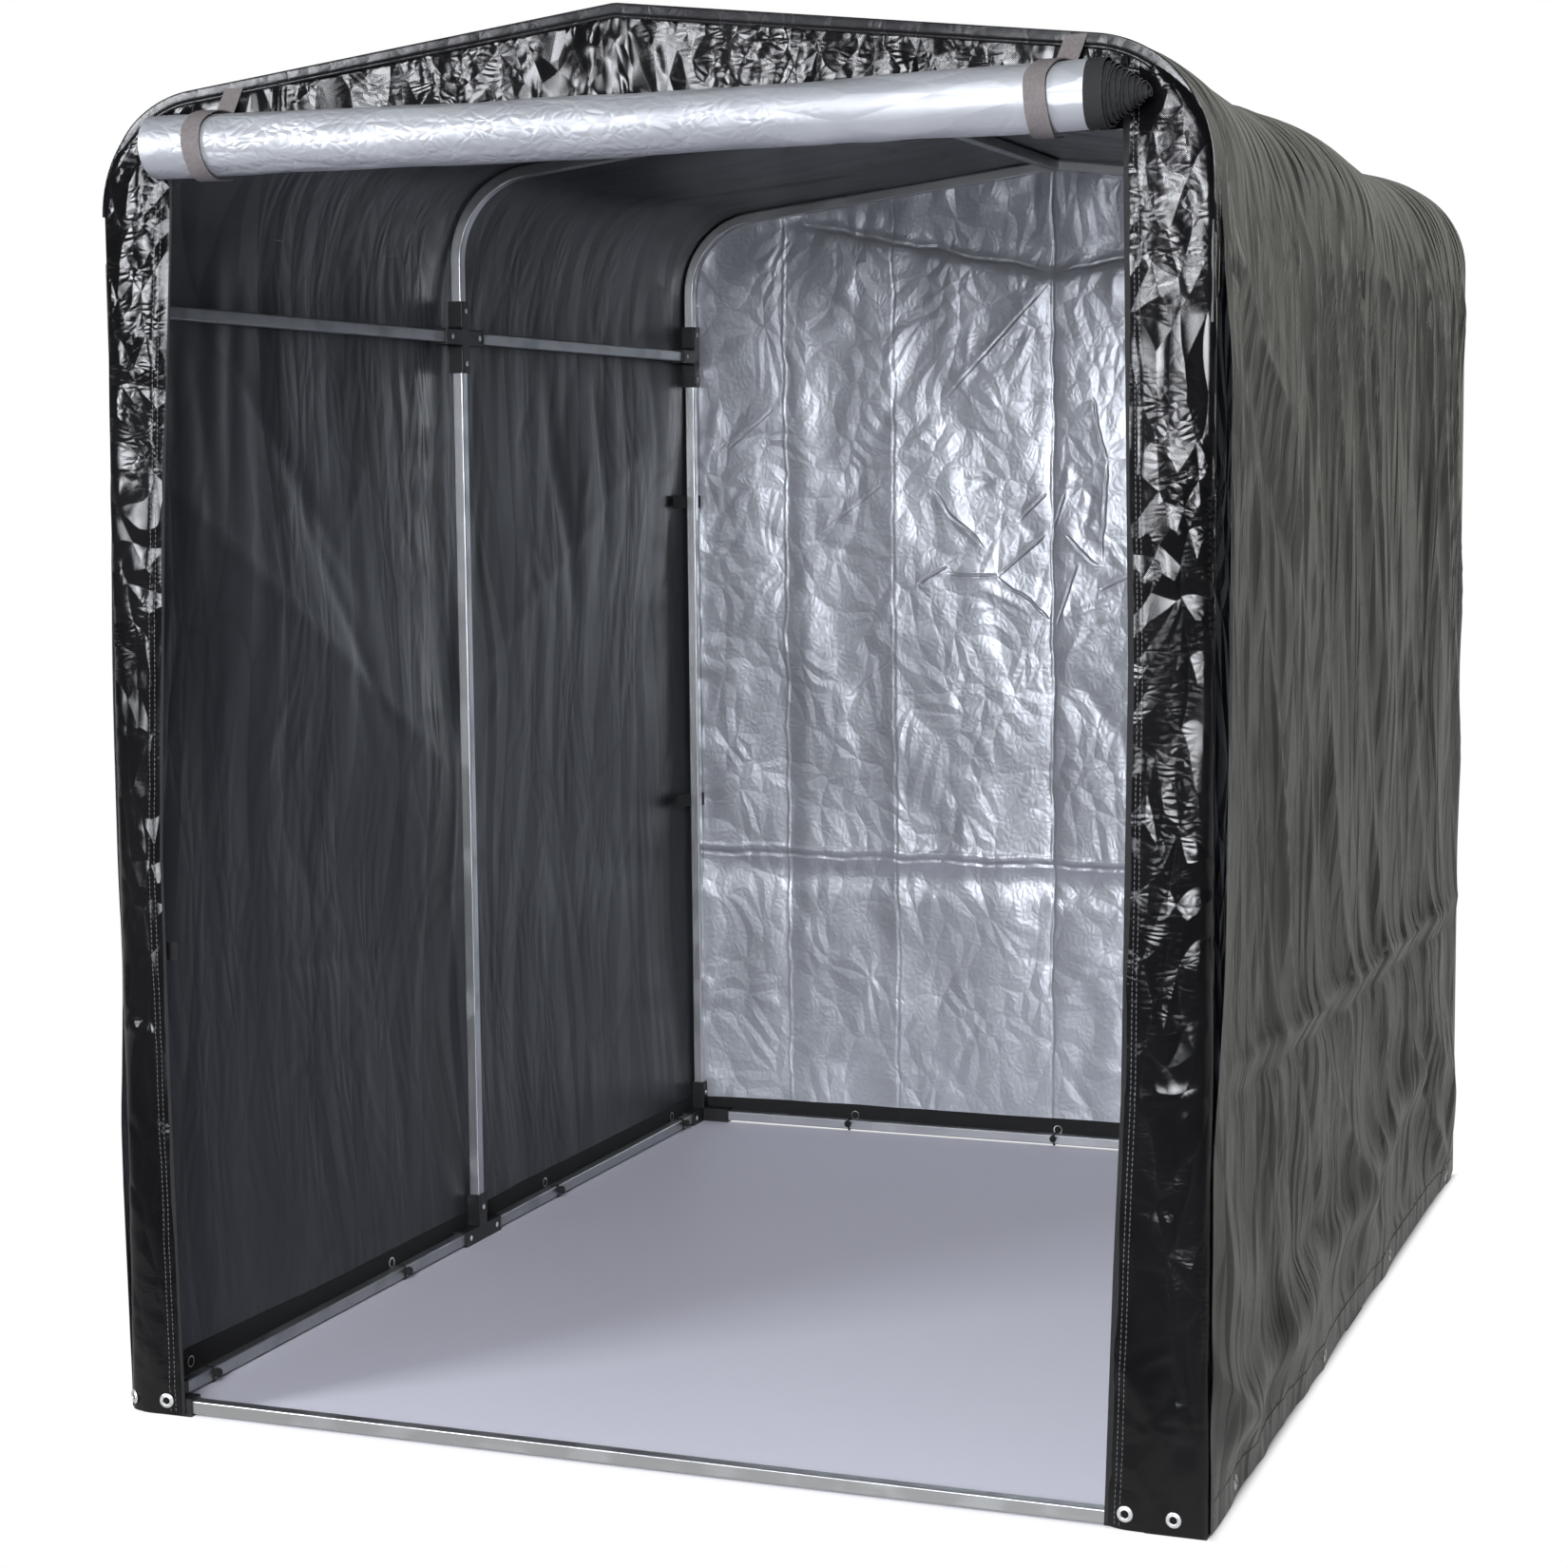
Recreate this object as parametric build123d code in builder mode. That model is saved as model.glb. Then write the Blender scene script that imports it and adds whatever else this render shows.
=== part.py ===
"""Bike shelter: a square-tube frame of three gabled hoops under a fitted cover.

The front opens through a door panel that is rolled up under the gable and strapped.
Millimetres, +Z up, the doorway faces -Y.
"""
import os
from math import cos, radians, sin, tan

from build123d import *

os.makedirs("parts", exist_ok=True)

# Frame layout
leg_spacing = 1590.0          # between the leg centre lines, side to side
hoop_pitch = 1062.0           # from one hoop to the next
purlin_height = 1634.0        # centre of the side purlins
bend_rise = 129.0             # from the side purlins up to where each hoop leaves the vertical
bend_radius = 156.0           # centre line of the eave bends
roof_pitch = 6.85             # slope of the roof, degrees

# Square tube
tube = 20.0
tube_wall = 1.5
tube_corner = 2.5

# Sleeve fittings
sleeve_wall = 3.75
sleeve_corner = 2.0           # rounding of the moulded edges
gusset_radius = 6.0           # inner corners of the crosses and tees
side_sleeve_reach = 63.0      # from the fitting's centre to the end of its upright arms
purlin_arm_reach = 72.0       # from the fitting's centre to the end of its level arms
base_sleeve_reach = 70.0
rib_depth = 1.2               # raised bar across the mouth of each arm, on the room side
rib_width = 6.0
fit_play = 0.25               # between a tube and its socket, and where tubes butt

# Cover
sheet = 1.0
hem_lift = 5.0                # hem stays off the ground
strip_width = 110.0           # front strips beside the doorway
door_top_rise = 50.0          # lower edge of the gable panel, above the start of the bends

# Rolled door
roll_radius = 43.0
roll_rise = 37.0              # roll axis above the gable panel's lower edge
roll_end_gap = 14.75          # between the roll's body and the front strips
roll_end_round = 14.0         # left-hand end, where the edge is tucked in
roll_tail_top_share = 0.5
binding_width = 24.0          # band along the door's edge at the right-hand end
binding_depth = 0.6
step_count = 6                # turns that step out of the right-hand end
step_reach = 9.0
step_depth = 5.6

# Straps round the rolled door
strap_inset = 81.0            # from the end of the roll's body
strap_width = 28.0
strap_sheet = 1.6
strap_gap = 0.4

# Ties that hold the cover to the corner legs
tie_drops = (303.0, 937.0)    # below the side purlins
tie_band = 27.0
tie_sheet = 1.8
tie_gap = 0.3
room_tail = 43.0              # free end of each front tie, towards the room
wall_tail = 63.0              # free end of each rear tie, along the side wall

overrun = 40.0                # how far a cutting body passes the face it cuts

half_share = 0.5
leg_x = leg_spacing * half_share
bend_start = purlin_height + bend_rise
door_top = bend_start + door_top_rise
roll_height = door_top + roll_rise
sleeve = tube + sleeve_wall + sleeve_wall
stand_off = sleeve * half_share
rail_height = stand_off
seat = tube * half_share
tube_end = seat + fit_play    # a tube stops just short of the middle of a fitting or hoop

front_plane = hoop_pitch + stand_off + sheet
front_reach = front_plane + sheet + roll_radius + roll_radius + strap_gap + strap_sheet
rear_reach = front_plane
# The doorway side reaches further, so the hoops stand back to centre the whole.
depth_shift = (front_reach - rear_reach) * half_share

hoops = {"front": depth_shift - hoop_pitch, "middle": depth_shift, "rear": depth_shift + hoop_pitch}
sides = {"left": -1, "right": 1}
front_inner = hoops["front"] - stand_off
rear_inner = hoops["rear"] + stand_off
bend_turn = 90 - roof_pitch
lean = radians(roof_pitch)

along_x = (1, 0, 0)
along_y = (0, 1, 0)
along_z = (0, 0, 1)


def square_section(at, heading, across):
    """Sketch the hollow tube's section at a point, facing along a heading."""
    bore = tube - tube_wall - tube_wall
    with BuildSketch(Plane(origin=at, x_dir=across, z_dir=heading)) as section:
        RectangleRounded(tube, tube, tube_corner)
        Rectangle(bore, bore, mode=Mode.SUBTRACT)
    return section.sketch


def straight_tube(start, heading, across, length):
    """Add one straight length of tube."""
    extrude(square_section(start, heading, across), amount=length)


def sleeve_pocket(centre, heading, across, reach):
    """Cut the square socket of one arm, leaving the solid middle of the fitting."""
    mouth = Plane(origin=centre, x_dir=across, z_dir=heading).offset(seat)
    with BuildSketch(mouth) as socket:
        Rectangle(tube + fit_play + fit_play, tube + fit_play + fit_play)
    extrude(socket.sketch, amount=reach + overrun, mode=Mode.SUBTRACT)


def outline(growth, foot):
    """Draw the hoop's closed outline, grown outward from its centre line, down to a foot level."""
    wide = leg_x + growth
    round_x = leg_x - bend_radius
    radius = bend_radius + growth
    slope_x = round_x + radius * sin(lean)
    slope_z = bend_start + radius * cos(lean)
    peak = slope_z + slope_x * tan(lean)
    with BuildLine() as edge:
        if foot < bend_start:
            Polyline((-wide, bend_start), (-wide, foot), (wide, foot), (wide, bend_start))
        else:
            Line((-wide, bend_start), (wide, bend_start))
        CenterArc((-round_x, bend_start), radius, 180, -bend_turn)
        Polyline((-slope_x, slope_z), (0, peak), (slope_x, slope_z))
        CenterArc((round_x, bend_start), radius, bend_turn, -bend_turn)
    make_face(edge.edges())


def upright_plane(depth):
    """Give the upright plane facing the doorway at a depth, drawn in X and Z."""
    return Plane(origin=(0, depth, 0), x_dir=along_x, z_dir=(0, -1, 0))


def keep(piece, label):
    """Name a finished piece and write it out."""
    piece.part.label = label
    export_step(piece.part, f"parts/{label}.step")


# Legs and bows
for hoop, depth in hoops.items():
    for side, sign in sides.items():
        with BuildPart() as leg:
            straight_tube((sign * leg_x, depth, rail_height + tube_end), along_z, along_x,
                          purlin_height - rail_height - tube_end - tube_end)
        keep(leg, f"{hoop}_{side}_leg")

        with BuildPart() as bow:
            with BuildLine(upright_plane(depth)) as bow_path:
                rise = Line((sign * leg_x, purlin_height + tube_end), (sign * leg_x, bend_start))
                bend = JernArc(rise @ 1, rise % 1, bend_radius, sign * bend_turn)
                Line(bend @ 1, bend @ 1 + (bend % 1) * (leg_x + overrun))
            sweep(square_section((sign * leg_x, depth, purlin_height + tube_end), along_z, along_x),
                  path=bow_path.line)
            split(bisect_by=Plane.YZ.offset(sign * fit_play * half_share),
                  keep=Keep.TOP if sign > 0 else Keep.BOTTOM)
        keep(bow, f"{hoop}_{side}_bow")

# Fittings at purlin height: crosses on the middle hoop, tees on the end hoops
level_arms = {"front": [1], "middle": [-1, 1], "rear": [-1]}
for hoop, depth in hoops.items():
    for side, sign in sides.items():
        knot = (sign * leg_x, depth, purlin_height)
        face_plane = Plane(origin=(sign * (leg_x + stand_off), depth, purlin_height),
                           x_dir=along_y, z_dir=(-sign, 0, 0))
        with BuildPart() as side_fitting:
            with BuildSketch(face_plane) as profile:
                Rectangle(sleeve, side_sleeve_reach + side_sleeve_reach)
                for way in level_arms[hoop]:
                    with Locations((way * purlin_arm_reach * half_share, 0)):
                        Rectangle(purlin_arm_reach, sleeve)
                inner_corners = [v for v in profile.vertices() if abs(v.X) < sleeve and abs(v.Y) < sleeve]
                fillet(inner_corners, gusset_radius)
            extrude(amount=sleeve)
            room_face = side_fitting.faces().sort_by(Axis.X)[0 if sign > 0 else -1]
            fillet(room_face.outer_wire().edges(), sleeve_corner)
            with BuildSketch(face_plane.offset(sleeve)):
                rib_centre = side_sleeve_reach - rib_width
                with Locations((0, rib_centre), (0, -rib_centre)):
                    Rectangle(tube, rib_width)
                for way in level_arms[hoop]:
                    with Locations((way * (purlin_arm_reach - rib_width), 0)):
                        Rectangle(rib_width, tube)
            extrude(amount=rib_depth)
            for way in (-1, 1):
                sleeve_pocket(knot, (0, 0, way), along_x, side_sleeve_reach)
            for way in level_arms[hoop]:
                sleeve_pocket(knot, (0, way, 0), along_x, purlin_arm_reach)
        keep(side_fitting, f"{hoop}_{side}_side_fitting")

# Fittings on the ground: three-way corners, and tees under the middle hoop
for hoop, depth in hoops.items():
    for side, sign in sides.items():
        knot = (sign * leg_x, depth, rail_height)
        with BuildPart() as base_fitting:
            with BuildSketch(Plane(origin=(sign * leg_x, depth, 0))):
                Rectangle(sleeve, sleeve)
                for way in level_arms[hoop]:
                    with Locations((0, way * base_sleeve_reach * half_share)):
                        Rectangle(sleeve, base_sleeve_reach)
                if hoop != "middle":
                    with Locations((-sign * base_sleeve_reach * half_share, 0)):
                        Rectangle(base_sleeve_reach, sleeve)
            extrude(amount=sleeve)
            with BuildSketch(Plane(origin=knot)):
                Rectangle(sleeve, sleeve)
            extrude(amount=base_sleeve_reach)
            fillet(base_fitting.edges().filter_by(Axis.Z), sleeve_corner)
            sleeve_pocket(knot, along_z, along_x, base_sleeve_reach)
            for way in level_arms[hoop]:
                sleeve_pocket(knot, (0, way, 0), along_x, base_sleeve_reach)
            if hoop != "middle":
                sleeve_pocket(knot, (-sign, 0, 0), along_y, base_sleeve_reach)
        keep(base_fitting, f"{hoop}_{side}_base_fitting")

# Base rails, from fitting to fitting
bay = hoop_pitch - tube_end - tube_end
for hoop in ("front", "rear"):
    with BuildPart() as cross_rail:
        straight_tube((tube_end - leg_x, hoops[hoop], rail_height), along_x, along_y,
                      leg_spacing - tube_end - tube_end)
    keep(cross_rail, f"{hoop}_base_rail")

for side, sign in sides.items():
    with BuildPart() as side_rails:
        for hoop in ("front", "middle"):
            straight_tube((sign * leg_x, hoops[hoop] + tube_end, rail_height), along_y, along_x, bay)
    keep(side_rails, f"{side}_base_rails")

    with BuildPart() as side_purlins:
        for hoop in ("front", "middle"):
            straight_tube((sign * leg_x, hoops[hoop] + tube_end, purlin_height), along_y, along_x, bay)
    keep(side_purlins, f"{side}_purlins")

# Ridge purlins, butted against the hoops just under the peak
round_x = leg_x - bend_radius
ridge_height = bend_start + bend_radius * cos(lean) + (round_x + bend_radius * sin(lean)) * tan(lean)
with BuildPart() as ridge_purlins:
    for hoop in ("front", "middle"):
        straight_tube((0, hoops[hoop] + tube_end, ridge_height), along_y, along_x, bay)
keep(ridge_purlins, "ridge_purlins")

# Cover: side walls, roof, rear wall
cover_depth = rear_inner - front_inner
cover_growth = stand_off + sheet
wall_rise = bend_start - hem_lift
wall_x = leg_x + stand_off + sheet * half_share
wall_y = front_inner + cover_depth * half_share
wall_z = hem_lift + wall_rise * half_share
for side, sign in sides.items():
    with BuildPart() as side_wall:
        with Locations((sign * wall_x, wall_y, wall_z)):
            Box(sheet, cover_depth, wall_rise)
    keep(side_wall, f"cover_{side}_wall")

with BuildPart() as roof:
    with BuildSketch(upright_plane(rear_inner)):
        outline(cover_growth, bend_start)
    extrude(amount=cover_depth)
    with BuildSketch(upright_plane(rear_inner + overrun)):
        outline(stand_off, bend_start - overrun)
    extrude(amount=cover_depth + overrun + overrun, mode=Mode.SUBTRACT)
keep(roof, "cover_roof")

with BuildPart() as rear_wall:
    with BuildSketch(upright_plane(rear_inner + sheet)):
        outline(cover_growth, hem_lift)
    extrude(amount=sheet)
keep(rear_wall, "cover_rear_wall")

# Front of the cover: a strip on each side of the doorway and the gable panel over it
strip_x = leg_x + cover_growth - strip_width * half_share
for side, sign in sides.items():
    with BuildPart() as front_strip:
        with Locations((sign * strip_x, front_inner - sheet * half_share, wall_z)):
            Box(strip_width, sheet, wall_rise)
    keep(front_strip, f"front_{side}_strip")

opening_half = leg_x + cover_growth - strip_width
with BuildPart() as gable_panel:
    with BuildSketch(upright_plane(front_inner)):
        outline(cover_growth, bend_start)
        with Locations((0, bend_start)):
            Rectangle(opening_half + opening_half, (door_top - bend_start) * 2, mode=Mode.SUBTRACT)
    extrude(amount=sheet)
keep(gable_panel, "front_gable_panel")

# Rolled door, hung from the gable panel's lower edge
panel_face = front_inner - sheet
roll_depth = panel_face - sheet - roll_radius
roll_half_length = opening_half - roll_end_gap
tail_foot = roll_height - roll_radius + sheet
tail_rise = roll_height + roll_radius * roll_tail_top_share - tail_foot
tail_length = roll_half_length + roll_half_length - roll_end_round - roll_end_round
with BuildPart() as door_roll:
    with BuildSketch(Plane(origin=(0, roll_depth, roll_height), x_dir=along_x, z_dir=(0, -1, 0))):
        with BuildLine():
            foot_line = Line((-roll_half_length, 0), (-roll_half_length, roll_radius - roll_end_round))
            tuck = JernArc(foot_line @ 1, foot_line % 1, roll_end_round, -90)
            run = Line(tuck @ 1, (roll_half_length - binding_width, roll_radius))
            band = Polyline(run @ 1, (roll_half_length - binding_width, roll_radius - binding_depth),
                            (roll_half_length, roll_radius - binding_depth))
            turn_end = band @ 1
            for turn in range(1, step_count + 1):
                level = roll_radius - binding_depth - turn * step_depth
                turn_run = Polyline(turn_end, (roll_half_length + (turn - 1) * step_reach, level),
                                    (roll_half_length + turn * step_reach, level))
                turn_end = turn_run @ 1
            Polyline(turn_end, (roll_half_length + step_count * step_reach, 0), (-roll_half_length, 0))
        make_face()
    revolve(axis=Axis((0, roll_depth, roll_height), along_x))
    with Locations((0, panel_face - sheet * half_share, tail_foot + tail_rise * half_share)):
        Box(tail_length, sheet, tail_rise)
    with Locations((0, panel_face - sheet - sheet * half_share, roll_height)):
        Box(tail_length, sheet, roll_radius * half_share)
keep(door_roll, "door_roll")

# Webbing straps that hold the roll: over the top, round the front and back underneath
strap_inner = roll_radius + strap_gap
strap_outer = strap_inner + strap_sheet
strap_run = panel_face - roll_depth
strap_offset = roll_half_length - strap_inset
for side, sign in sides.items():
    with BuildPart() as strap:
        loop_plane = Plane(origin=(sign * strap_offset - strap_width * half_share, roll_depth, roll_height),
                           x_dir=along_y, z_dir=along_x)
        with BuildSketch(loop_plane):
            Circle(strap_outer)
            with Locations((strap_run * half_share, 0)):
                Rectangle(strap_run, strap_outer + strap_outer)
            Circle(strap_inner, mode=Mode.SUBTRACT)
            with Locations((strap_run * half_share + overrun * half_share, 0)):
                Rectangle(strap_run + overrun, strap_inner + strap_inner, mode=Mode.SUBTRACT)
        extrude(amount=strap_width)
    keep(strap, f"door_{side}_strap")

# Hook-and-loop ties at the corner legs: at the front each goes round its leg with a free end towards
# the room, at the rear each lies open behind its leg with a free end along the side wall
tie_hole = tube + tie_gap + tie_gap
tie_outer = tie_hole + tie_sheet + tie_sheet
room_reach = (tie_outer + room_tail) * half_share
wall_reach = (tie_outer + wall_tail) * half_share
tail_side = (tie_outer - tie_sheet) * half_share
with BuildPart() as leg_ties:
    for hoop in ("front", "rear"):
        for sign in sides.values():
            for drop in tie_drops:
                tie_foot = purlin_height - drop - tie_band * half_share
                with BuildSketch(Plane(origin=(sign * leg_x, hoops[hoop], tie_foot))):
                    Rectangle(tie_outer, tie_outer)
                    if hoop == "front":
                        Rectangle(tie_hole, tie_hole, mode=Mode.SUBTRACT)
                        with Locations((-sign * room_reach, tail_side)):
                            Rectangle(room_tail, tie_sheet)
                    else:
                        with Locations((-sign * tie_sheet, -tie_sheet)):
                            Rectangle(tie_outer, tie_outer, mode=Mode.SUBTRACT)
                        with Locations((sign * tail_side, -wall_reach)):
                            Rectangle(tie_sheet, wall_tail)
                extrude(amount=tie_band)
keep(leg_ties, "corner_leg_ties")
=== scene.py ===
"""Look of the bike shelter: creased sheet cover, satin square tube, rolled door and studio."""
import logging
import math
from collections.abc import Callable, Iterable
from dataclasses import dataclass, field, replace
from enum import Enum

import bpy
import numpy as np
from mathutils import Matrix, Vector


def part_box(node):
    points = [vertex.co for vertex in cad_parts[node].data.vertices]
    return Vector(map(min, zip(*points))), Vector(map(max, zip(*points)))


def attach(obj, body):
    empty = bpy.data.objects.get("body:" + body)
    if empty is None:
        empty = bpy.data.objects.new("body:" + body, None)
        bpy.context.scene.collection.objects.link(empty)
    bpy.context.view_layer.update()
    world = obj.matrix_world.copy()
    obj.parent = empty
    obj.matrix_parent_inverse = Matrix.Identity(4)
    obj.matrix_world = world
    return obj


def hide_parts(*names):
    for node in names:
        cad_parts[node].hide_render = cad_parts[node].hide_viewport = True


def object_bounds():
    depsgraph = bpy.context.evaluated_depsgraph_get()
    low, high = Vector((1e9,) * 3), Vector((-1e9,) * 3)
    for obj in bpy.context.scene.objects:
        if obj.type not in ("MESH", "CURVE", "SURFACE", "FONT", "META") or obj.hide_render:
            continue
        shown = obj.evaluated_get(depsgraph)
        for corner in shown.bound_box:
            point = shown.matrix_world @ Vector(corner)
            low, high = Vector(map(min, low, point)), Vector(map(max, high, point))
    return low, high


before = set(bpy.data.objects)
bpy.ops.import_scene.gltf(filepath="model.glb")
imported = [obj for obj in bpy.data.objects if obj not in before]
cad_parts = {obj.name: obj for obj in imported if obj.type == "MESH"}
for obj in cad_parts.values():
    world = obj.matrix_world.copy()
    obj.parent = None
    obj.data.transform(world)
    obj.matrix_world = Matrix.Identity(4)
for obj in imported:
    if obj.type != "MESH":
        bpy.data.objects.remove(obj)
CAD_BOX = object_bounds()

LOG = logging.getLogger("shelter")
BODY = "root"
HOOPS = ("front", "middle", "rear")
EVEN = (1.0, 1.0, 1.0)
FORWARD = (0.0, -1.0, 0.0)
UPWARD = (0.0, 0.0, 1.0)
Array = np.ndarray
Piece = bpy.types.Object
Material = bpy.types.Material
Pair = tuple[float, float]
Triple = tuple[float, float, float]
Colour = Triple


class Side(Enum):
    """The two sides of the shelter, as seen by someone looking in."""

    LEFT = -1
    RIGHT = 1

    @property
    def word(self) -> str:
        """Give the side's name as it stands in node names."""
        return self.name.lower()


class Lie(Enum):
    """Which way a drawn tube runs, so that its die lines follow it."""

    ACROSS = 0
    DEEP = 1
    UP = 2
    BENT = 3


class Grain(Enum):
    """How a finish's pattern is laid on a piece."""

    SOLID = "through the piece"
    UPRIGHT = "along a panel and up it"
    TUNNEL = "along the shelter and up its section, over the eaves"

    @property
    def dimensions(self) -> str:
        """Name the kind of texture that the pattern needs."""
        return "3D" if self is Grain.SOLID else "2D"


def operator(operation: str, swapped: bool = False) -> Callable[..., "Flow"]:
    """Make a method that adds one Math node.

    Args:
        operation: what the node does.
        swapped: whether the other value comes first.

    Returns:
        The method.
    """
    def method(flow: "Flow", other: object = 0.0) -> "Flow":
        """Add the node and give its result."""
        values = (other, flow) if swapped else (flow, other)
        return flow.owner.node("ShaderNodeMath", {"operation": operation}, dict(enumerate(values)))

    return method


class Flow:
    """A node socket that joins in Python arithmetic: wave is the sine and size the absolute value."""

    __add__, __radd__ = operator("ADD"), operator("ADD", True)
    __sub__, __rsub__ = operator("SUBTRACT"), operator("SUBTRACT", True)
    __mul__, __rmul__ = operator("MULTIPLY"), operator("MULTIPLY", True)
    wave, size, higher = operator("SINE"), operator("ABSOLUTE"), operator("MAXIMUM")

    def __init__(self, owner: "Nodes", socket: bpy.types.NodeSocket) -> None:
        """Hold a socket and the tree it belongs to."""
        self.owner = owner
        self.socket = socket

    def dot(self, by: Triple) -> "Flow":
        """Take the dot product of this vector with a constant one."""
        return self.owner.node(
            "ShaderNodeVectorMath", {"operation": "DOT_PRODUCT"}, {0: self, 1: by}, "Value"
        )

    def length(self) -> "Flow":
        """Take the length of this vector."""
        return self.owner.node("ShaderNodeVectorMath", {"operation": "LENGTH"}, {0: self}, "Value")

    def over(self, low: float, high: float, start: float = 0.0, end: float = 1.0) -> "Flow":
        """Give a smooth step from start to end between two values."""
        return self.owner.node(
            "ShaderNodeMapRange", {"interpolation_type": "SMOOTHSTEP"},
            {0: self, 1: low, 2: high, 3: start, 4: end},
        )


class Nodes:
    """A node tree under construction."""

    def __init__(self, tree: bpy.types.NodeTree) -> None:
        """Take over an empty tree."""
        self.tree = tree
        self.tree.nodes.clear()

    def put(self, value: object, socket: bpy.types.NodeSocket) -> None:
        """Link a flow to a socket, or set the socket's own value."""
        if isinstance(value, Flow):
            self.tree.links.new(value.socket, socket)
        elif isinstance(value, tuple) and len(value) == 3 and socket.type == "RGBA":
            socket.default_value = (*value, 1.0)
        else:
            socket.default_value = value

    def node(self, kind: str, settings: dict | None = None, values: dict | None = None,
             out: object = 0) -> Flow:
        """Add one node.

        Args:
            kind: the node's type.
            settings: its own properties, set first.
            values: what goes to its inputs, by name or number.
            out: which output is wanted.

        Returns:
            The wanted output.
        """
        made = self.tree.nodes.new(kind)
        for key, value in (settings or {}).items():
            setattr(made, key, value)
        for key, value in (values or {}).items():
            self.put(value, made.inputs[key])
        return Flow(self, made.outputs[out])

    def blend(self, share: object, first: object, second: object) -> Flow:
        """Mix two colours."""
        return self.node("ShaderNodeMix", {"data_type": "RGBA"}, {0: share, 6: first, 7: second}, out=2)


class Paint(Nodes):
    """A node material under construction."""

    drift_share = 0.4  # cells of the creases' drift to a facet

    def __init__(self, name: str) -> None:
        """Start an empty material with one surface shader."""
        self.material = bpy.data.materials.new(name)
        self.material.use_nodes = True
        super().__init__(self.material.node_tree)
        self.output = self.tree.nodes.new("ShaderNodeOutputMaterial")
        self.surface = self.tree.nodes.new("ShaderNodeBsdfPrincipled")
        self.tree.links.new(self.surface.outputs[0], self.output.inputs[0])

    def place(self, stretch: Triple = EVEN, grain: Grain = Grain.SOLID) -> Flow:
        """Give the piece's own coordinates, laid as the grain says and stretched along the axes."""
        if grain is Grain.SOLID:
            plain = self.node("ShaderNodeTexCoord", out="Object")
            if stretch == EVEN:
                return plain
            return self.node("ShaderNodeMapping", {}, {"Vector": plain, "Scale": stretch})
        x, y, z = (self.axis(index) for index in range(3))
        along, up = (x + y, z) if grain is Grain.UPRIGHT else (y, z - x.size())
        return self.node("ShaderNodeCombineXYZ", {}, {0: along * stretch[0], 1: up * stretch[2]})

    def axis(self, index: int) -> Flow:
        """Give one of the piece's own coordinates."""
        return self.node("ShaderNodeSeparateXYZ", {}, {0: self.place()}, out=index)

    def noise(self, cells: float, detail: float = 3.0, stretch: Triple = EVEN,
              grain: Grain = Grain.SOLID) -> Flow:
        """Give cloud noise with so many cells to the metre."""
        return self.node(
            "ShaderNodeTexNoise", {"noise_dimensions": grain.dimensions},
            {"Vector": self.place(stretch, grain), "Scale": cells, "Detail": detail},
        )

    def facets(self, cells: float, stretch: Triple, sway: float, grain: Grain) -> Flow:
        """Give crumpled facets: flat faces that meet in creases.

        Args:
            cells: facets to the metre.
            stretch: of the pattern along the axes.
            sway: how far the creases wander, in cells.
            grain: how the pattern is laid.

        Returns:
            The height above the nearest crease.
        """
        place = self.place(stretch, grain)
        drift = self.node(
            "ShaderNodeTexNoise", {"noise_dimensions": grain.dimensions},
            {"Vector": place, "Scale": cells * self.drift_share, "Detail": 0.0}, out="Color",
        )
        reach = sway / cells
        bent = self.node(
            "ShaderNodeVectorMath", {"operation": "MULTIPLY_ADD"},
            {0: drift, 1: (reach, reach, reach), 2: place},
        )
        return self.node(
            "ShaderNodeTexVoronoi", {"feature": "DISTANCE_TO_EDGE", "voronoi_dimensions": grain.dimensions},
            {"Vector": bent, "Scale": cells},
        )

    def relief(self, height: Flow, depth: float, under: Flow | None = None) -> Flow:
        """Turn a height into a bumped normal.

        Args:
            height: what stands up, about 0 to 1.
            depth: how far 1 stands up, in metres.
            under: a relief that this one lies on.

        Returns:
            The normal.
        """
        values = {"Height": height, "Distance": depth, "Strength": 1.0}
        if under is not None:
            values["Normal"] = under
        return self.node("ShaderNodeBump", {}, values)

    def done(self, **sockets: object) -> Material:
        """Set the surface shader's inputs by name, with _ for a space, and give the material."""
        for key, value in sockets.items():
            self.put(value, self.surface.inputs[key.replace("_", " ")])
        return self.material


@dataclass(frozen=True)
class TubeFinish:
    """Mill-finish aluminium with fine die lines along the tube."""

    lie: Lie
    colour: Colour = (0.70, 0.71, 0.72)
    dull: Colour = (0.56, 0.57, 0.585)
    roughness: float = 0.30
    line_cells: float = 900.0
    line_pull: float = 0.02
    line_depth: float = 0.00006
    cloud_cells: float = 14.0

    def make(self) -> Material:
        """Build the material."""
        paint = Paint(f"aluminium_{self.lie.name.lower()}")
        stretch = [1.0, 1.0, 1.0]
        if self.lie is not Lie.BENT:
            stretch[self.lie.value] = self.line_pull
        lines = paint.noise(self.line_cells, 2.0, tuple(stretch))
        smudge = paint.noise(self.cloud_cells).over(0.45, 0.7)
        return paint.done(
            Base_Color=paint.blend(smudge * 0.6 + lines * 0.25, self.colour, self.dull),
            Metallic=1.0,
            Roughness=smudge * 0.14 + lines * 0.12 + self.roughness,
            Normal=paint.relief(lines, self.line_depth),
        )


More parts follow.
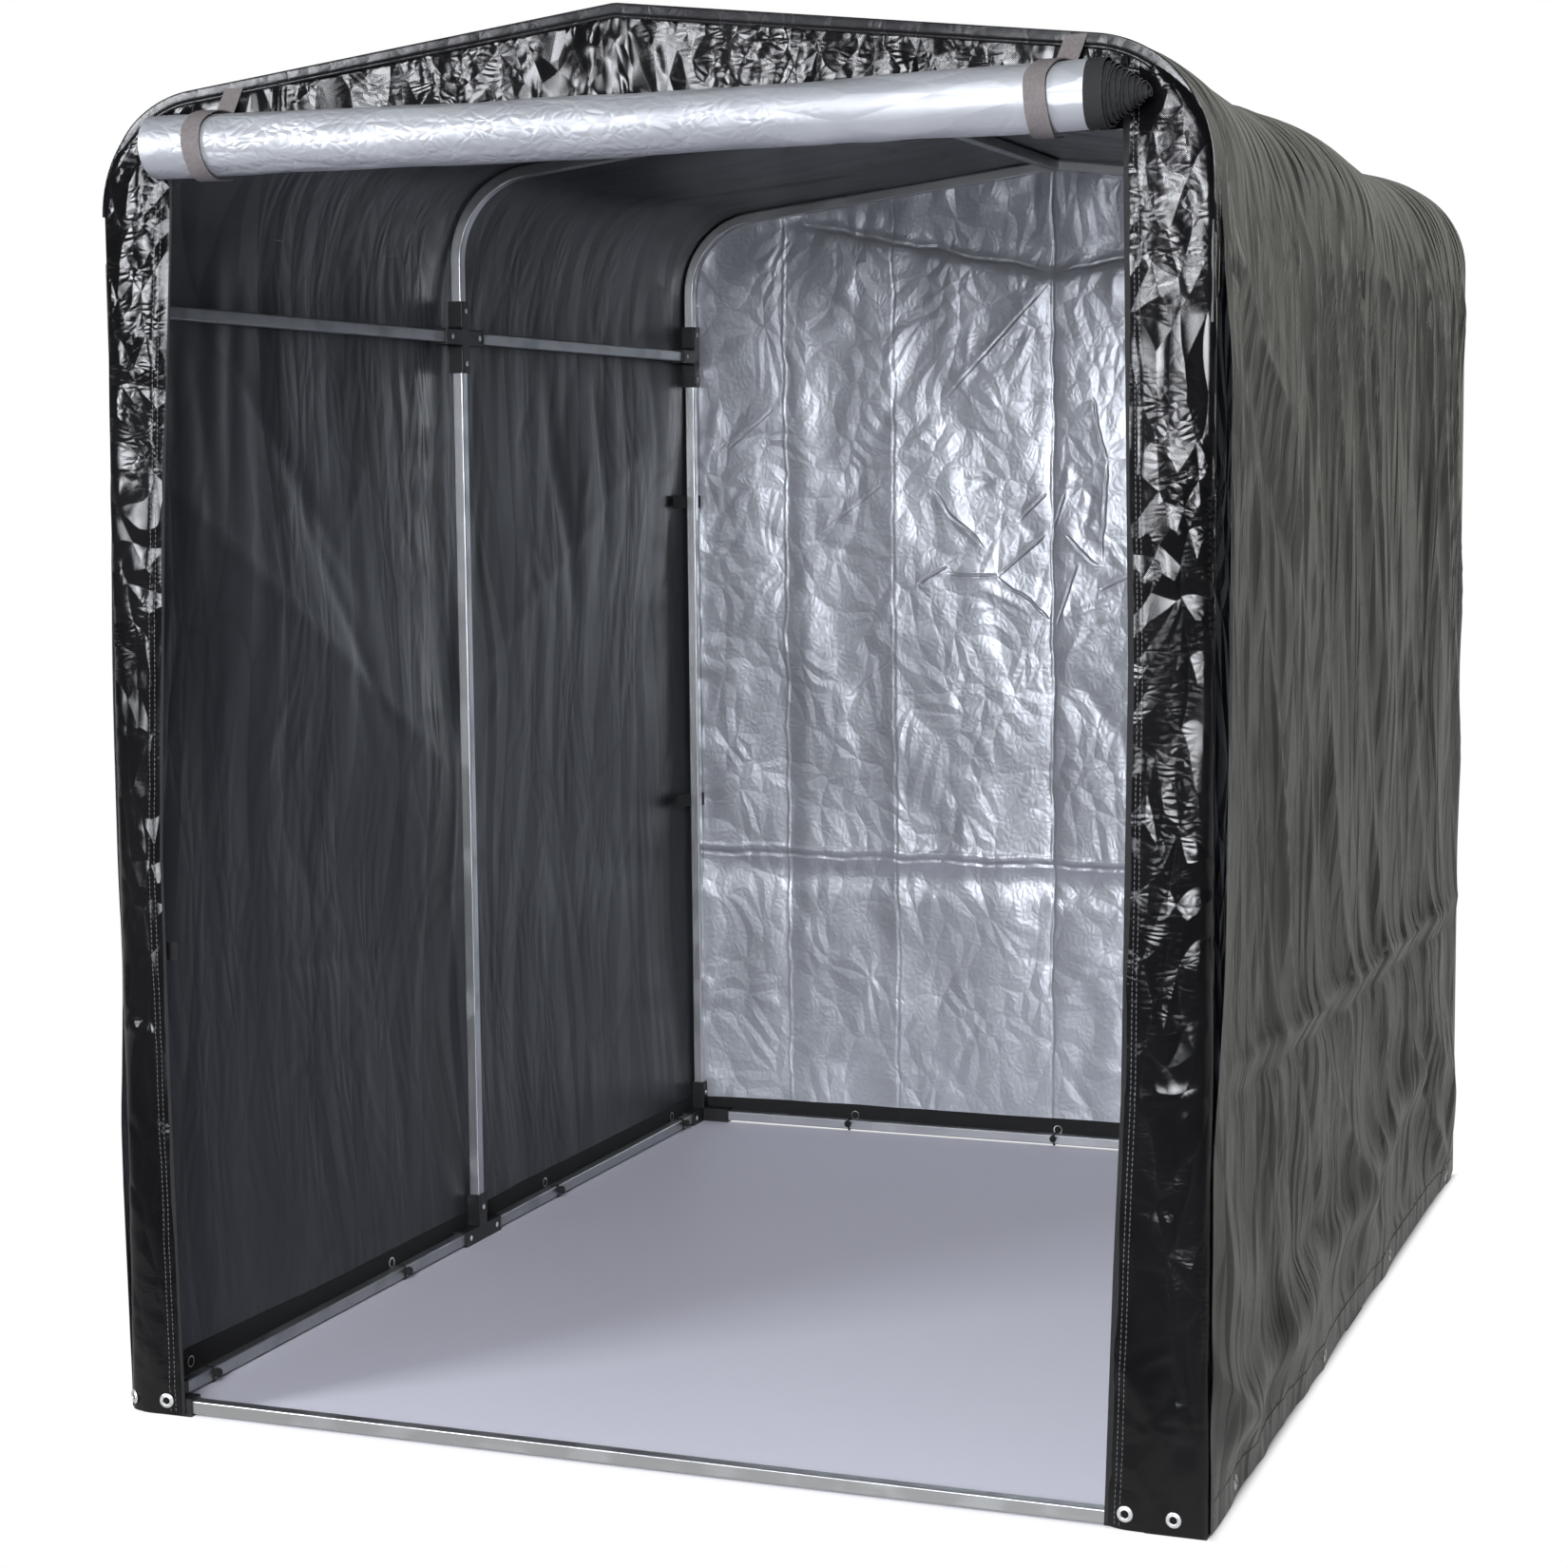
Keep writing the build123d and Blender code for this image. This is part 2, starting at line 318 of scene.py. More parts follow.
@dataclass(frozen=True)
class MouldedFinish:
    """Black moulded plastic with a fine spark texture."""

    colour: Colour = (0.012, 0.012, 0.013)
    scuffed: Colour = (0.035, 0.035, 0.037)
    roughness: float = 0.42
    spark_cells: float = 1400.0
    spark_depth: float = 0.0001
    wear_cells: float = 45.0

    def make(self) -> Material:
        """Build the material."""
        paint = Paint("moulded_black")
        sparks = paint.noise(self.spark_cells, 2.0)
        wear = paint.noise(self.wear_cells, 4.0).over(0.5, 0.75)
        return paint.done(
            Base_Color=paint.blend(wear * 0.6, self.colour, self.scuffed),
            Roughness=wear * 0.12 + self.roughness,
            Normal=paint.relief(sparks, self.spark_depth),
        )


@dataclass(frozen=True)
class SheetFinish:
    """Coated woven sheet: a tape weave under a film that keeps its packing creases."""

    name: str
    colour: Colour
    shade: Colour
    roughness: float
    metallic: float = 0.0
    facet_cells: float = 24.0
    facet_slope: float = 0.14
    fine_cells: float = 90.0
    fine_slope: float = 0.08
    sway: float = 1.6
    weave: float = 0.00004
    weave_pitch: float = 0.0024
    haze: float = 0.10
    stretch: Triple = EVEN
    fine_stretch: Triple = EVEN
    patch_cells: float = 0.0
    patch_edge: Pair = (0.36, 0.62)
    calm: Pair | None = None
    calm_share: float = 0.7
    cloud_cells: float = 6.5
    cloud_edge: Pair = (0.35, 0.68)
    rub_reach: float = 0.05
    rub_rough: float = 0.05
    rub_share: float = 0.2
    pressed: tuple["Crease", ...] = ()
    wander_cells: float = 11.0
    grain: Grain = Grain.UPRIGHT

    def make(self) -> Material:
        """Build the material."""
        paint = Paint(self.name)
        turns = 2.0 * math.pi / self.weave_pitch
        tapes = ((paint.axis(0) + paint.axis(1)) * turns).wave() * (paint.axis(2) * turns).wave()
        broad = paint.facets(self.facet_cells, self.stretch, self.sway, self.grain)
        fine = paint.facets(self.fine_cells, self.fine_stretch, self.sway, self.grain)
        if self.patch_cells:
            patches = paint.noise(self.patch_cells, 1.0, self.stretch, self.grain)
            fine = fine * patches.over(*self.patch_edge)
        if self.calm is not None:
            risen = paint.axis(2).over(*self.calm) * self.calm_share + (1.0 - self.calm_share)
            broad, fine = broad * risen, fine * risen
        clouds = paint.noise(self.cloud_cells, 4.0, self.stretch, self.grain)
        # Along the facet creases the colour turns towards the second tone, darker on the silver and charcoal
        # sheets and lighter on the black ones, and the roughness rises.
        crease_tone = 1.0 - broad.over(0.0, self.rub_reach)
        creased = paint.relief(broad, self.facet_slope / self.facet_cells)
        creased = paint.relief(fine, self.fine_slope / self.fine_cells, creased)
        shaded = clouds.over(*self.cloud_edge) * (1.0 - self.rub_share) + crease_tone * self.rub_share
        if self.pressed:
            wander = paint.noise(self.wander_cells, 2.0, grain=self.grain) * WANDER
            spot = paint.node(
                "ShaderNodeCombineXYZ", {}, {0: paint.axis(0) + wander, 1: paint.axis(2) + wander, 2: 1.0}
            )
            lines = self.pressed[0].mark(spot)
            for crease in self.pressed[1:]:  # one by one, so that few values wait in the shader
                lines = lines + crease.mark(spot)
            creased = paint.relief(lines, 1.0, creased)
        return paint.done(
            Base_Color=paint.blend(shaded, self.colour, self.shade),
            Metallic=self.metallic,
            Roughness=clouds * self.haze + crease_tone * self.rub_rough + self.roughness,
            Normal=paint.relief(tapes, self.weave, creased),
        )


@dataclass(frozen=True)
class WebbingFinish:
    """Flat woven webbing or tape with cross ribs."""

    name: str
    colour: Colour
    shade: Colour
    rib_pitch: float = 0.0016
    rib_axis: int = 2
    roughness: float = 0.78
    twill_share: float = 0.7
    fuzz_cells: float = 260.0
    depth: float = 0.0003

    def make(self) -> Material:
        """Build the material."""
        paint = Paint(self.name)
        turns = 2.0 * math.pi / self.rib_pitch
        ribs = (paint.axis(self.rib_axis) * turns).wave()
        twill = ((paint.axis(0) + paint.axis(1) + paint.axis(2)) * turns * self.twill_share).wave()
        fuzz = paint.noise(self.fuzz_cells, 4.0)
        return paint.done(
            Base_Color=paint.blend(fuzz.over(0.3, 0.7), self.colour, self.shade),
            Roughness=fuzz * 0.14 + self.roughness,
            Normal=paint.relief(ribs * 0.5 + twill * 0.3 + fuzz * 0.6, self.depth),
        )


@dataclass(frozen=True)
class NickelFinish:
    """Bright plated metal for eyelets and screws."""

    colour: Colour = (0.86, 0.855, 0.84)
    tarnish: Colour = (0.56, 0.55, 0.53)
    metallic: float = 0.75
    roughness: float = 0.34
    spot_cells: float = 420.0
    spot_depth: float = 0.00004

    def make(self) -> Material:
        """Build the material."""
        paint = Paint("nickel")
        spots = paint.noise(self.spot_cells).over(0.5, 0.72)
        return paint.done(
            Base_Color=paint.blend(spots * 0.7, self.colour, self.tarnish),
            Metallic=self.metallic,
            Roughness=spots * 0.2 + self.roughness,
            Normal=paint.relief(spots, self.spot_depth),
        )


class Finishes:
    """Every finish on the shelter, made once."""

    def __init__(self) -> None:
        """Make the materials."""
        self.tubes = {lie: TubeFinish(lie).make() for lie in Lie if lie is not Lie.DEEP}
        # The tubes that run front to back are the same aluminium as the others, given a darker and duller
        # colour here: painted shade, as their faces catch little of the light.
        self.tubes[Lie.DEEP] = TubeFinish(
            Lie.DEEP, (0.46, 0.47, 0.475), (0.36, 0.37, 0.38), 0.36
        ).make()
        self.moulded = MouldedFinish().make()
        self.nickel = NickelFinish().make()
        self.gloss_black = SheetFinish(
            "sheet_black_gloss", (0.003, 0.003, 0.0035), (0.006, 0.006, 0.0066), 0.12, haze=0.05,
            facet_cells=22.0, facet_slope=0.21, fine_cells=80.0, fine_slope=0.09, stretch=(1.0, 1.0, 0.5),
            fine_stretch=(0.6, 0.6, 1.2), patch_cells=8.0, calm=(-0.10, 1.30),
        ).make()
        self.fold_black = SheetFinish(
            "sheet_black_fold", (0.006, 0.006, 0.007), (0.012, 0.012, 0.013), 0.18,
            facet_cells=20.0, facet_slope=0.03, fine_cells=70.0, fine_slope=0.03, grain=Grain.SOLID,
        ).make()
        outside = SheetFinish(
            "sheet_black_wall", (0.021, 0.022, 0.019), (0.034, 0.035, 0.031), 0.17,
            facet_cells=17.0, facet_slope=0.16, fine_cells=60.0, fine_slope=0.08, stretch=(1.0, 1.0, 0.2),
            fine_stretch=(1.0, 1.0, 0.3), patch_cells=5.0, grain=Grain.TUNNEL,
        )
        self.wall_black = outside.make()
        self.rear_black = replace(outside, name="sheet_black_rear", grain=Grain.UPRIGHT).make()
        self.silver = SheetFinish(
            "sheet_silver", (0.61, 0.63, 0.675), (0.50, 0.515, 0.555), 0.31, metallic=0.55,
            facet_cells=19.0, facet_slope=0.055, fine_cells=70.0, fine_slope=0.038, stretch=(1.0, 1.0, 0.8),
            fine_stretch=(1.0, 1.0, 0.9), pressed=PRESSED,
        ).make()
        # The room side of the side walls, the roof and the front strips is the same silver sheet as the rear
        # wall's, given a dark charcoal colour: painted shade, for the weak slanting light that reaches it.
        inside = SheetFinish(
            "sheet_charcoal", (0.044, 0.048, 0.054), (0.030, 0.033, 0.038), 0.32, metallic=0.25,
            facet_cells=9.0, facet_slope=0.040, fine_cells=30.0, fine_slope=0.05, stretch=(1.0, 1.0, 0.22),
            fine_stretch=(1.0, 1.0, 0.3), patch_cells=3.0, grain=Grain.TUNNEL,
        )
        self.charcoal = inside.make()
        self.strip_lining = replace(inside, name="sheet_charcoal_strip", grain=Grain.UPRIGHT).make()
        self.roll_silver = SheetFinish(
            "sheet_silver_roll", (0.42, 0.43, 0.45), (0.33, 0.34, 0.36), 0.35, metallic=0.45,
            facet_cells=15.0, facet_slope=0.11, fine_cells=70.0, fine_slope=0.17, stretch=(0.4, 1.0, 1.0),
            fine_stretch=(0.8, 1.0, 1.0), patch_cells=6.0, grain=Grain.SOLID,
        ).make()
        self.webbing = WebbingFinish(
            "webbing_taupe", (0.115, 0.102, 0.100), (0.150, 0.132, 0.130), rib_axis=0
        ).make()
        self.binding = WebbingFinish("binding_black", (0.008, 0.008, 0.009), (0.015, 0.015, 0.016)).make()
        self.hook_tape = WebbingFinish(
            "hook_tape_black", (0.012, 0.012, 0.012), (0.022, 0.022, 0.022)
        ).make()
        self.thread = WebbingFinish("thread_grey", (0.16, 0.16, 0.165), (0.26, 0.26, 0.265), 0.0006).make()
        self.elastic = WebbingFinish(
            "elastic_black", (0.010, 0.010, 0.010), (0.02, 0.02, 0.02), 0.001
        ).make()


def smoothstep(value: Array, low: float, high: float) -> Array:
    """Give a smooth 0 to 1 step between two values."""
    share = np.clip((value - low) / (high - low), 0.0, 1.0)
    return share * share * (3.0 - 2.0 * share)


def bell(value: Array, width: float) -> Array:
    """Give a bump that is 1 at zero and fades over a width on both sides."""
    return np.exp(-((value / width) ** 2))


class Ply(Enum):
    """How a layer of ripples is shaped."""

    SMOOTH = "rounded"
    RIDGED = "creased along its crests"


@dataclass(frozen=True)
class Layer:
    """One layer of ripples; lean slants it, as metres of u to a metre of v."""

    ply: Ply
    lean: float
    cell_u: float
    cell_v: float
    height: float


class Ripples:
    """Seeded smooth noise over a sheet."""

    across, along = 127, 131
    gain = 1.9  # brings the smoothed draws back to about -1 to 1
    crest = 0.5

    def __init__(self, seed: int) -> None:
        """Start the random draws."""
        self.draw = np.random.default_rng(seed)

    def field(self, u: Array, v: Array, cell_u: float, cell_v: float) -> Array:
        """Give noise of about -1 to 1.

        Args:
            u: first sheet coordinate, in metres.
            v: second sheet coordinate.
            cell_u: size of a ripple along u.
            cell_v: size of a ripple along v.

        Returns:
            The noise at each point.
        """
        values = self.draw.uniform(-1.0, 1.0, (self.across, self.along))
        gu, gv = u / cell_u, v / cell_v
        iu, iv = np.floor(gu).astype(int), np.floor(gv).astype(int)
        fu, fv = gu - iu, gv - iv

        def weights(f: Array) -> list[Array]:
            """Give the four weights of a cubic B-spline."""
            return [
                (1 - f) ** 3 / 6, (3 * f ** 3 - 6 * f ** 2 + 4) / 6,
                (-3 * f ** 3 + 3 * f ** 2 + 3 * f + 1) / 6, f ** 3 / 6,
            ]

        total = np.zeros_like(gu)
        for i, wu in enumerate(weights(fu)):
            for j, wv in enumerate(weights(fv)):
                total += wu * wv * values[(iu + i) % self.across, (iv + j) % self.along]
        return total * self.gain

    def stack(self, u: Array, v: Array, *layers: Layer) -> Array:
        """Add up layers, each with the next random draws.

        Args:
            u: first sheet coordinate.
            v: second sheet coordinate.
            layers: in the order of their draws.

        Returns:
            The lift at each point.
        """
        total = np.zeros_like(u)
        for layer in layers:
            wave = self.field(u + layer.lean * v, v, layer.cell_u, layer.cell_v)
            if layer.ply is Ply.RIDGED:
                wave = self.crest - np.abs(wave)
            total += wave * layer.height
        return total


@dataclass(frozen=True)
class Crease:
    """One fold line on a sheet, from start to end in sheet coordinates."""

    start: Pair
    end: Pair
    height: float
    width: float
    sharp: bool = True
    taper: float = 0.2  # share of the length over which each end fades
    end_share: float = 0.25  # share of the height that is left at the ends

    def lift(self, u: Array, v: Array) -> Array:
        """Give how far the crease lifts each point."""
        run = np.subtract(self.end, self.start)
        length = float(np.hypot(*run))
        du, dv = u - self.start[0], v - self.start[1]
        along = (du * run[0] + dv * run[1]) / length
        off = np.abs(du * run[1] - dv * run[0]) / length
        past = np.maximum(np.maximum(-along, along - length), 0.0)
        off = np.hypot(off, past)
        shape = np.exp(-off / self.width) if self.sharp else bell(off, self.width)
        ends = np.clip(np.minimum(along, length - along) / (self.taper * length), 0.0, 1.0)
        return self.height * shape * (self.end_share + (1 - self.end_share) * ends)

    def mark(self, spot: Flow) -> Flow:
        """Give the crease as a height in a material, tapering to its ends.

        Args:
            spot: the sheet coordinates and a 1, as a vector.

        Returns:
            The height.
        """
        (u0, v0), (u1, v1) = self.start, self.end
        reach = math.hypot(u1 - u0, v1 - v0) / 2
        cos, sin = (u1 - u0) / (2 * reach), (v1 - v0) / (2 * reach)
        mid_u, mid_v = (u0 + u1) / 2, (v0 + v1) / 2
        along = spot.dot((cos / reach, sin / reach, -(mid_u * cos + mid_v * sin) / reach))
        off = spot.dot((sin / self.width, -cos / self.width, (mid_v * cos - mid_u * sin) / self.width))
        squared = along * along
        away = spot.owner.node("ShaderNodeCombineXYZ", {}, {0: off, 1: squared * squared}).length()
        return away.over(0.0, 1.0, self.height, 0.0)


def fold_lines(rows: Iterable[tuple[float, ...]], sharp: bool = True) -> tuple[Crease, ...]:
    """Turn rows of start, end, height and width into creases."""
    return tuple(Crease(row[0:2], row[2:4], *row[4:6], sharp) for row in rows)


def folded(u: Array, v: Array, creases: Iterable[Crease]) -> Array:
    """Add up how far some creases lift each point."""
    return sum(crease.lift(u, v) for crease in creases)


@dataclass(frozen=True)
class Crumple:
    """Short creases scattered over a sheet.

    The height and width are the largest, the length is the shortest and longest, and the
    lean is the mean direction from the u axis and its spread, in radians.
    """

    seed: int
    count: int
    height: float
    width: float
    length: Pair
    lean: Pair
    heights: Pair = (0.3, 1.0)
    widths: Pair = (0.4, 1.0)
    fade: float = 5.0  # widths from its line at which a crease is left off

    def lift(self, u: Array, v: Array) -> Array:
        """Give how far the creases lift each point."""
        draw = np.random.default_rng(self.seed)
        total = np.zeros_like(u)
        for _ in range(self.count):
            centre = np.array([draw.uniform(u.min(), u.max()), draw.uniform(v.min(), v.max())])
            angle = self.lean[0] + draw.normal() * self.lean[1]
            half = 0.5 * draw.uniform(*self.length) * np.array([math.cos(angle), math.sin(angle)])
            lift = self.height * draw.uniform(*self.heights) * draw.choice([-1.0, 1.0])
            breadth = self.width * draw.uniform(*self.widths)
            reach = self.fade * breadth + float(np.hypot(*half))
            near = (np.abs(u - centre[0]) < reach) & (np.abs(v - centre[1]) < reach)
            if near.any():
                crease = Crease(tuple(centre - half), tuple(centre + half), lift, breadth)
                total[near] += crease.lift(u[near], v[near])
        return total


# Folds of the right wall along depth and height, and of the left wall and roof from the middle hoop.
RIGHT_FOLDS = fold_lines((
    (-0.97, 0.608, 1.10, 0.560, 0.018, 0.030), (-0.97, 0.562, 1.10, 0.514, -0.010, 0.022),
    (-0.50, 0.586, -0.23, 0.160, -0.008, 0.020), (0.695, 0.320, 0.885, 0.010, -0.009, 0.022),
    (-1.03, 1.697, -0.60, 1.445, 0.008, 0.022), (-0.845, 1.75, -0.805, 1.40, 0.006, 0.016),
    (-0.612, 1.80, -0.437, 1.45, -0.007, 0.018), (-0.314, 1.80, -0.143, 1.33, 0.007, 0.018),
    (-0.010, 1.79, 0.444, 1.564, 0.007, 0.020), (0.077, 1.696, 0.183, 1.30, -0.007, 0.016),
    (0.378, 1.80, 0.700, 1.72, 0.006, 0.018), (0.550, 1.66, 0.660, 0.80, 0.006, 0.016),
    (-0.70, 1.15, -0.60, 0.70, 0.006, 0.014),
)) + fold_lines((
    (-0.99, 0.105, -0.23, 0.183, 0.016, 0.045), (-0.23, 0.183, 0.72, 0.320, 0.018, 0.050),
    (-0.68, 0.245, 0.05, 0.235, -0.005, 0.030), (-0.96, 1.600, -0.52, 1.220, -0.006, 0.030),
), sharp=False)
LEFT_FOLDS = fold_lines((
    (-0.98, 1.42, -0.02, 0.86, -0.004, 0.018), (-0.75, 1.60, -0.35, 1.20, 0.005, 0.024),
    (-0.60, 1.45, -0.25, 0.95, 0.005, 0.020), (0.90, 1.48, 0.08, 1.02, -0.004, 0.018),
    (0.62, 1.60, 0.66, 1.22, 0.005, 0.020), (-0.80, 0.62, -0.20, 0.56, 0.006, 0.020),
)) + fold_lines(((0.40, 1.62, 0.52, 1.10, 0.006, 0.030),), sharp=False)
ROOF_FOLDS = fold_lines((
    (0.10, -0.70, 0.28, -0.05, 0.006, 0.016), (0.62, -0.72, 0.75, -0.25, 0.006, 0.016),
    (-0.70, -0.66, -0.45, -0.12, 0.005, 0.020), (-0.55, 0.15, -0.35, 0.70, 0.006, 0.020),
    (0.30, 0.10, 0.55, 0.66, 0.006, 0.018),
))
# Short folds of the rear wall: start, end, height and width in the mesh, height in the material.
REAR_SHORT = (
    (-0.010, 1.772, -0.245, 1.530, -0.0045, 0.016, -0.0011),
    (-0.365, 1.370, -0.525, 1.255, -0.0040, 0.016, -0.0009),
    (-0.610, 1.525, -0.725, 1.435, -0.0040, 0.016, -0.0009),
    (-0.345, 1.010, -0.455, 0.920, 0.0050, 0.016, 0.0010),
) + tuple((*ends, -0.0030, 0.0080, pressed) for *ends, pressed in (
    (-0.125, 1.175, -0.022, 1.262, -0.0026), (-0.125, 1.175, -0.012, 1.085, -0.0026),
    (0.000, 1.075, 0.045, 1.205, -0.0024), (-0.235, 1.178, -0.125, 1.178, -0.0024),
    (-0.295, 1.160, -0.235, 1.192, -0.0024), (-0.010, 1.268, 0.018, 1.345, -0.0024),
    (0.018, 1.345, 0.026, 1.410, 0.0), (0.070, 1.535, 0.107, 1.410, -0.0024),
    (0.107, 1.410, 0.092, 1.200, -0.0024), (0.020, 1.262, 0.085, 1.195, -0.0024),
    (-0.085, 1.285, -0.020, 1.345, -0.0020), (-0.270, 1.350, -0.150, 1.230, -0.0020),
    (0.085, 1.145, 0.160, 1.180, -0.0020), (0.010, 1.090, 0.130, 1.130, 0.0),
    (-0.050, 1.100, -0.160, 1.155, 0.0),
))
REAR_FOLDS = fold_lines((
    (-0.590, 0.04, -0.588, 1.88, 0.0045, 0.020), (-0.545, 0.04, -0.543, 1.80, -0.0030, 0.025),
    (-0.345, 0.10, -0.350, 1.86, -0.0035, 0.020), (-0.010, 0.04, -0.008, 1.96, 0.0050, 0.018),
    (0.265, 0.04, 0.262, 1.92, -0.0035, 0.020), (0.53, 0.04, 0.53, 1.90, 0.0040, 0.020),
    (-0.79, 0.588, 0.79, 0.580, -0.0060, 0.018), (-0.265, 1.680, -0.40, 1.44, 0.0050, 0.024),
)) + fold_lines(((-0.79, 0.550, 0.79, 0.542, 0.007, 0.030),), sharp=False) + fold_lines(REAR_SHORT)
# Lines pressed into the rear wall's material, which wander by up to WANDER and so half of it on average.
WANDER = 0.016
PRESSED_WIDTH = 0.005
PRESSED = fold_lines((
    (-0.583, -0.35, -0.580, 2.25, 0.0007, 0.006), (-0.336, -0.35, -0.343, 2.25, -0.0006, 0.006),
    (-0.002, -0.35, 0.000, 2.35, -0.0014, 0.006), (0.274, -0.35, 0.269, 2.30, 0.0007, 0.006),
    (-1.10, 0.5955, 1.10, 0.5845, -0.0030, 0.008), (-1.10, 0.6095, 1.10, 0.5985, 0.0014, 0.009),
    (-0.592, 1.923, -0.002, 1.795, -0.0026, 0.007), (-0.002, 1.795, 0.568, 1.876, -0.0026, 0.007),
)) + fold_lines(
    (*(place + WANDER / 2 for place in row[:4]), row[6], PRESSED_WIDTH) for row in REAR_SHORT if row[6]
)


def link(name: str, data: bpy.types.ID) -> Piece:
    """Make an object of some data and put it in the scene."""
    made = bpy.data.objects.new(name, data)
    bpy.context.scene.collection.objects.link(made)
    return made


def mesh_object(name: str, points: Array, faces: Array, kinds: Array,
                materials: list[Material], flat: Array | None = None) -> Piece:
    """Make a mesh object from arrays.

    Args:
        name: the object's name.
        points: corner positions, in metres.
        faces: four corner numbers a face.
        kinds: material number of each face.
        materials: the materials.
        flat: True for each face that is shaded flat.

    Returns:
        The linked object.
    """
    mesh = bpy.data.meshes.new(name)
    mesh.vertices.add(len(points))
    mesh.vertices.foreach_set("co", np.ascontiguousarray(points, np.float32).ravel())
    mesh.loops.add(faces.size)
    mesh.loops.foreach_set("vertex_index", np.ascontiguousarray(faces, np.int32).ravel())
    mesh.polygons.add(len(faces))
    mesh.polygons.foreach_set("loop_start", np.arange(0, faces.size, 4, dtype=np.int32))
    mesh.polygons.foreach_set("material_index", np.ascontiguousarray(kinds, np.int32))
    smooth = np.ones(len(faces), bool) if flat is None else ~flat
    mesh.polygons.foreach_set("use_smooth", smooth)
    for material in materials:
        mesh.materials.append(material)
    mesh.update(calc_edges=True)
    if flat is not None:
        edges = np.empty(faces.size, np.int32)
        mesh.loops.foreach_get("edge_index", edges)
        sharp = np.zeros(len(mesh.edges), bool)
        sharp[edges.reshape(-1, 4)[flat]] = True
        mesh.edges.foreach_set("use_edge_sharp", sharp)
    return link(name, mesh)


def grid_normals(points: Array) -> Array:
    """Give the unit normal at each point of a grid, along first axis crossed with second."""
    normal = np.cross(np.gradient(points, axis=0), np.gradient(points, axis=1))
    return normal / np.maximum(np.linalg.norm(normal, axis=2, keepdims=True), 1e-12)


def sheet_object(name: str, points: Array, thickness: float, materials: list[Material],
                 band: Array | None = None) -> Piece:
    """Make a closed thin sheet from a grid of middle points.

    Args:
        name: the object's name.
        points: rows by columns by three; first axis crossed with second points outside.
        thickness: of the sheet.
        materials: outside, inside and, if band is given, the inside band.
        band: True for each inside face that takes the third material.

    Returns:
        The linked object.
    """
    rows, columns = points.shape[:2]
    normal = grid_normals(points)
    both = np.concatenate([
        (points + normal * thickness / 2).reshape(-1, 3), (points - normal * thickness / 2).reshape(-1, 3)
    ])
    number = np.arange(rows * columns).reshape(rows, columns)
    a, b = number[:-1, :-1], number[1:, :-1]
    c, d = number[1:, 1:], number[:-1, 1:]
    outside = np.stack([a, b, c, d], -1).reshape(-1, 4)
    under = rows * columns
    inside = outside[:, [0, 3, 2, 1]] + under
    ring = np.concatenate([number[:, 0], number[-1, 1:], number[::-1, -1][1:], number[0, ::-1][1:-1]])
    after = np.roll(ring, -1)
    rim = np.stack([after, ring, ring + under, after + under], -1)
    kinds = np.zeros(len(outside) + len(inside) + len(rim), int)
    inner = slice(len(outside), len(outside) + len(inside))
    kinds[inner] = 1 if band is None else np.where(band.ravel(), 2, 1)
    flat = np.zeros(len(kinds), bool)
    flat[len(outside) + len(inside):] = True
    return mesh_object(name, both, np.concatenate([outside, inside, rim]), kinds, materials, flat)


def ring_object(name: str, rings: Array, material: Material) -> Piece:
    """Join rings of points into a closed bar.

    Args:
        name: the object's name.
        rings: rings by corners by three, turning to the left as seen from the far end.
        material: its material.

    Returns:
        The linked object.
    """
    count, sides = rings.shape[:2]
    number = np.arange(count * sides).reshape(count, sides)
    following = np.roll(number, -1, 1)
    faces = [np.stack([number[:-1], following[:-1], following[1:], number[1:]], -1).reshape(-1, 4)]
    for end in (number[0, ::-1], number[-1]):
        faces.append(np.array([[end[0], end[k], end[k + 1], end[k + 2]] for k in range(1, sides - 2, 2)]))
    joined = np.concatenate(faces)
    return mesh_object(name, rings.reshape(-1, 3), joined, np.zeros(len(joined), int), [material])


def tube_object(name: str, path: Array, radius: float, material: Material) -> Piece:
    """Make a round bar along a path.

    Args:
        name: the object's name.
        path: points along the middle.
        radius: of the bar.
        material: its material.

    Returns:
        The linked object.
    """
    heading = np.gradient(path, axis=0)
    heading /= np.linalg.norm(heading, axis=1, keepdims=True)
    first = np.cross(heading, np.array([0.31, 0.52, 0.79]))
    first /= np.linalg.norm(first, axis=1, keepdims=True)
    second = np.cross(heading, first)
    turn = np.linspace(0, 2 * math.pi, 8, endpoint=False)[None, :, None]
    round_it = first[:, None] * np.cos(turn) + second[:, None] * np.sin(turn)
    return ring_object(name, path[:, None] + radius * round_it, material)


def middle(node: str, axis: int) -> float:
    """Give the middle of a node's box along one axis."""
    low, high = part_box(node)
    return (low[axis] + high[axis]) / 2


class Layout:
    """Where the cover and frame stand, read from the frame."""

    tuck = 0.006  # from the foot of the roll up to the gable panel's lower edge

    def __init__(self) -> None:
        """Measure the nodes that the pieces follow."""
        low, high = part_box("cover_right_wall")
        self.front, self.rear = low.y, high.y
        self.hem, self.spring = low.z, high.z
        self.wall_x = middle("cover_right_wall", 0)
        low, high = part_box("middle_left_leg")
        self.tube = high.x - low.x
        self.leg_x = -middle("middle_left_leg", 0)
        self.hoops = [middle(f"{hoop}_left_leg", 1) for hoop in HOOPS]
        self.strip_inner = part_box("front_right_strip")[0].x
        self.strip_y = middle("front_right_strip", 1)
        self.rear_y = middle("cover_rear_wall", 1)
        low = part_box("door_roll")[0]
        self.door_top = low.z + self.tuck
        self.roll_half = -low.x
        self.roll_y, self.roll_z = middle("door_roll", 1), middle("door_roll", 2)
        self.purlin_z = middle("left_purlins", 2)
        self.rail_z = middle("front_base_rail", 2)


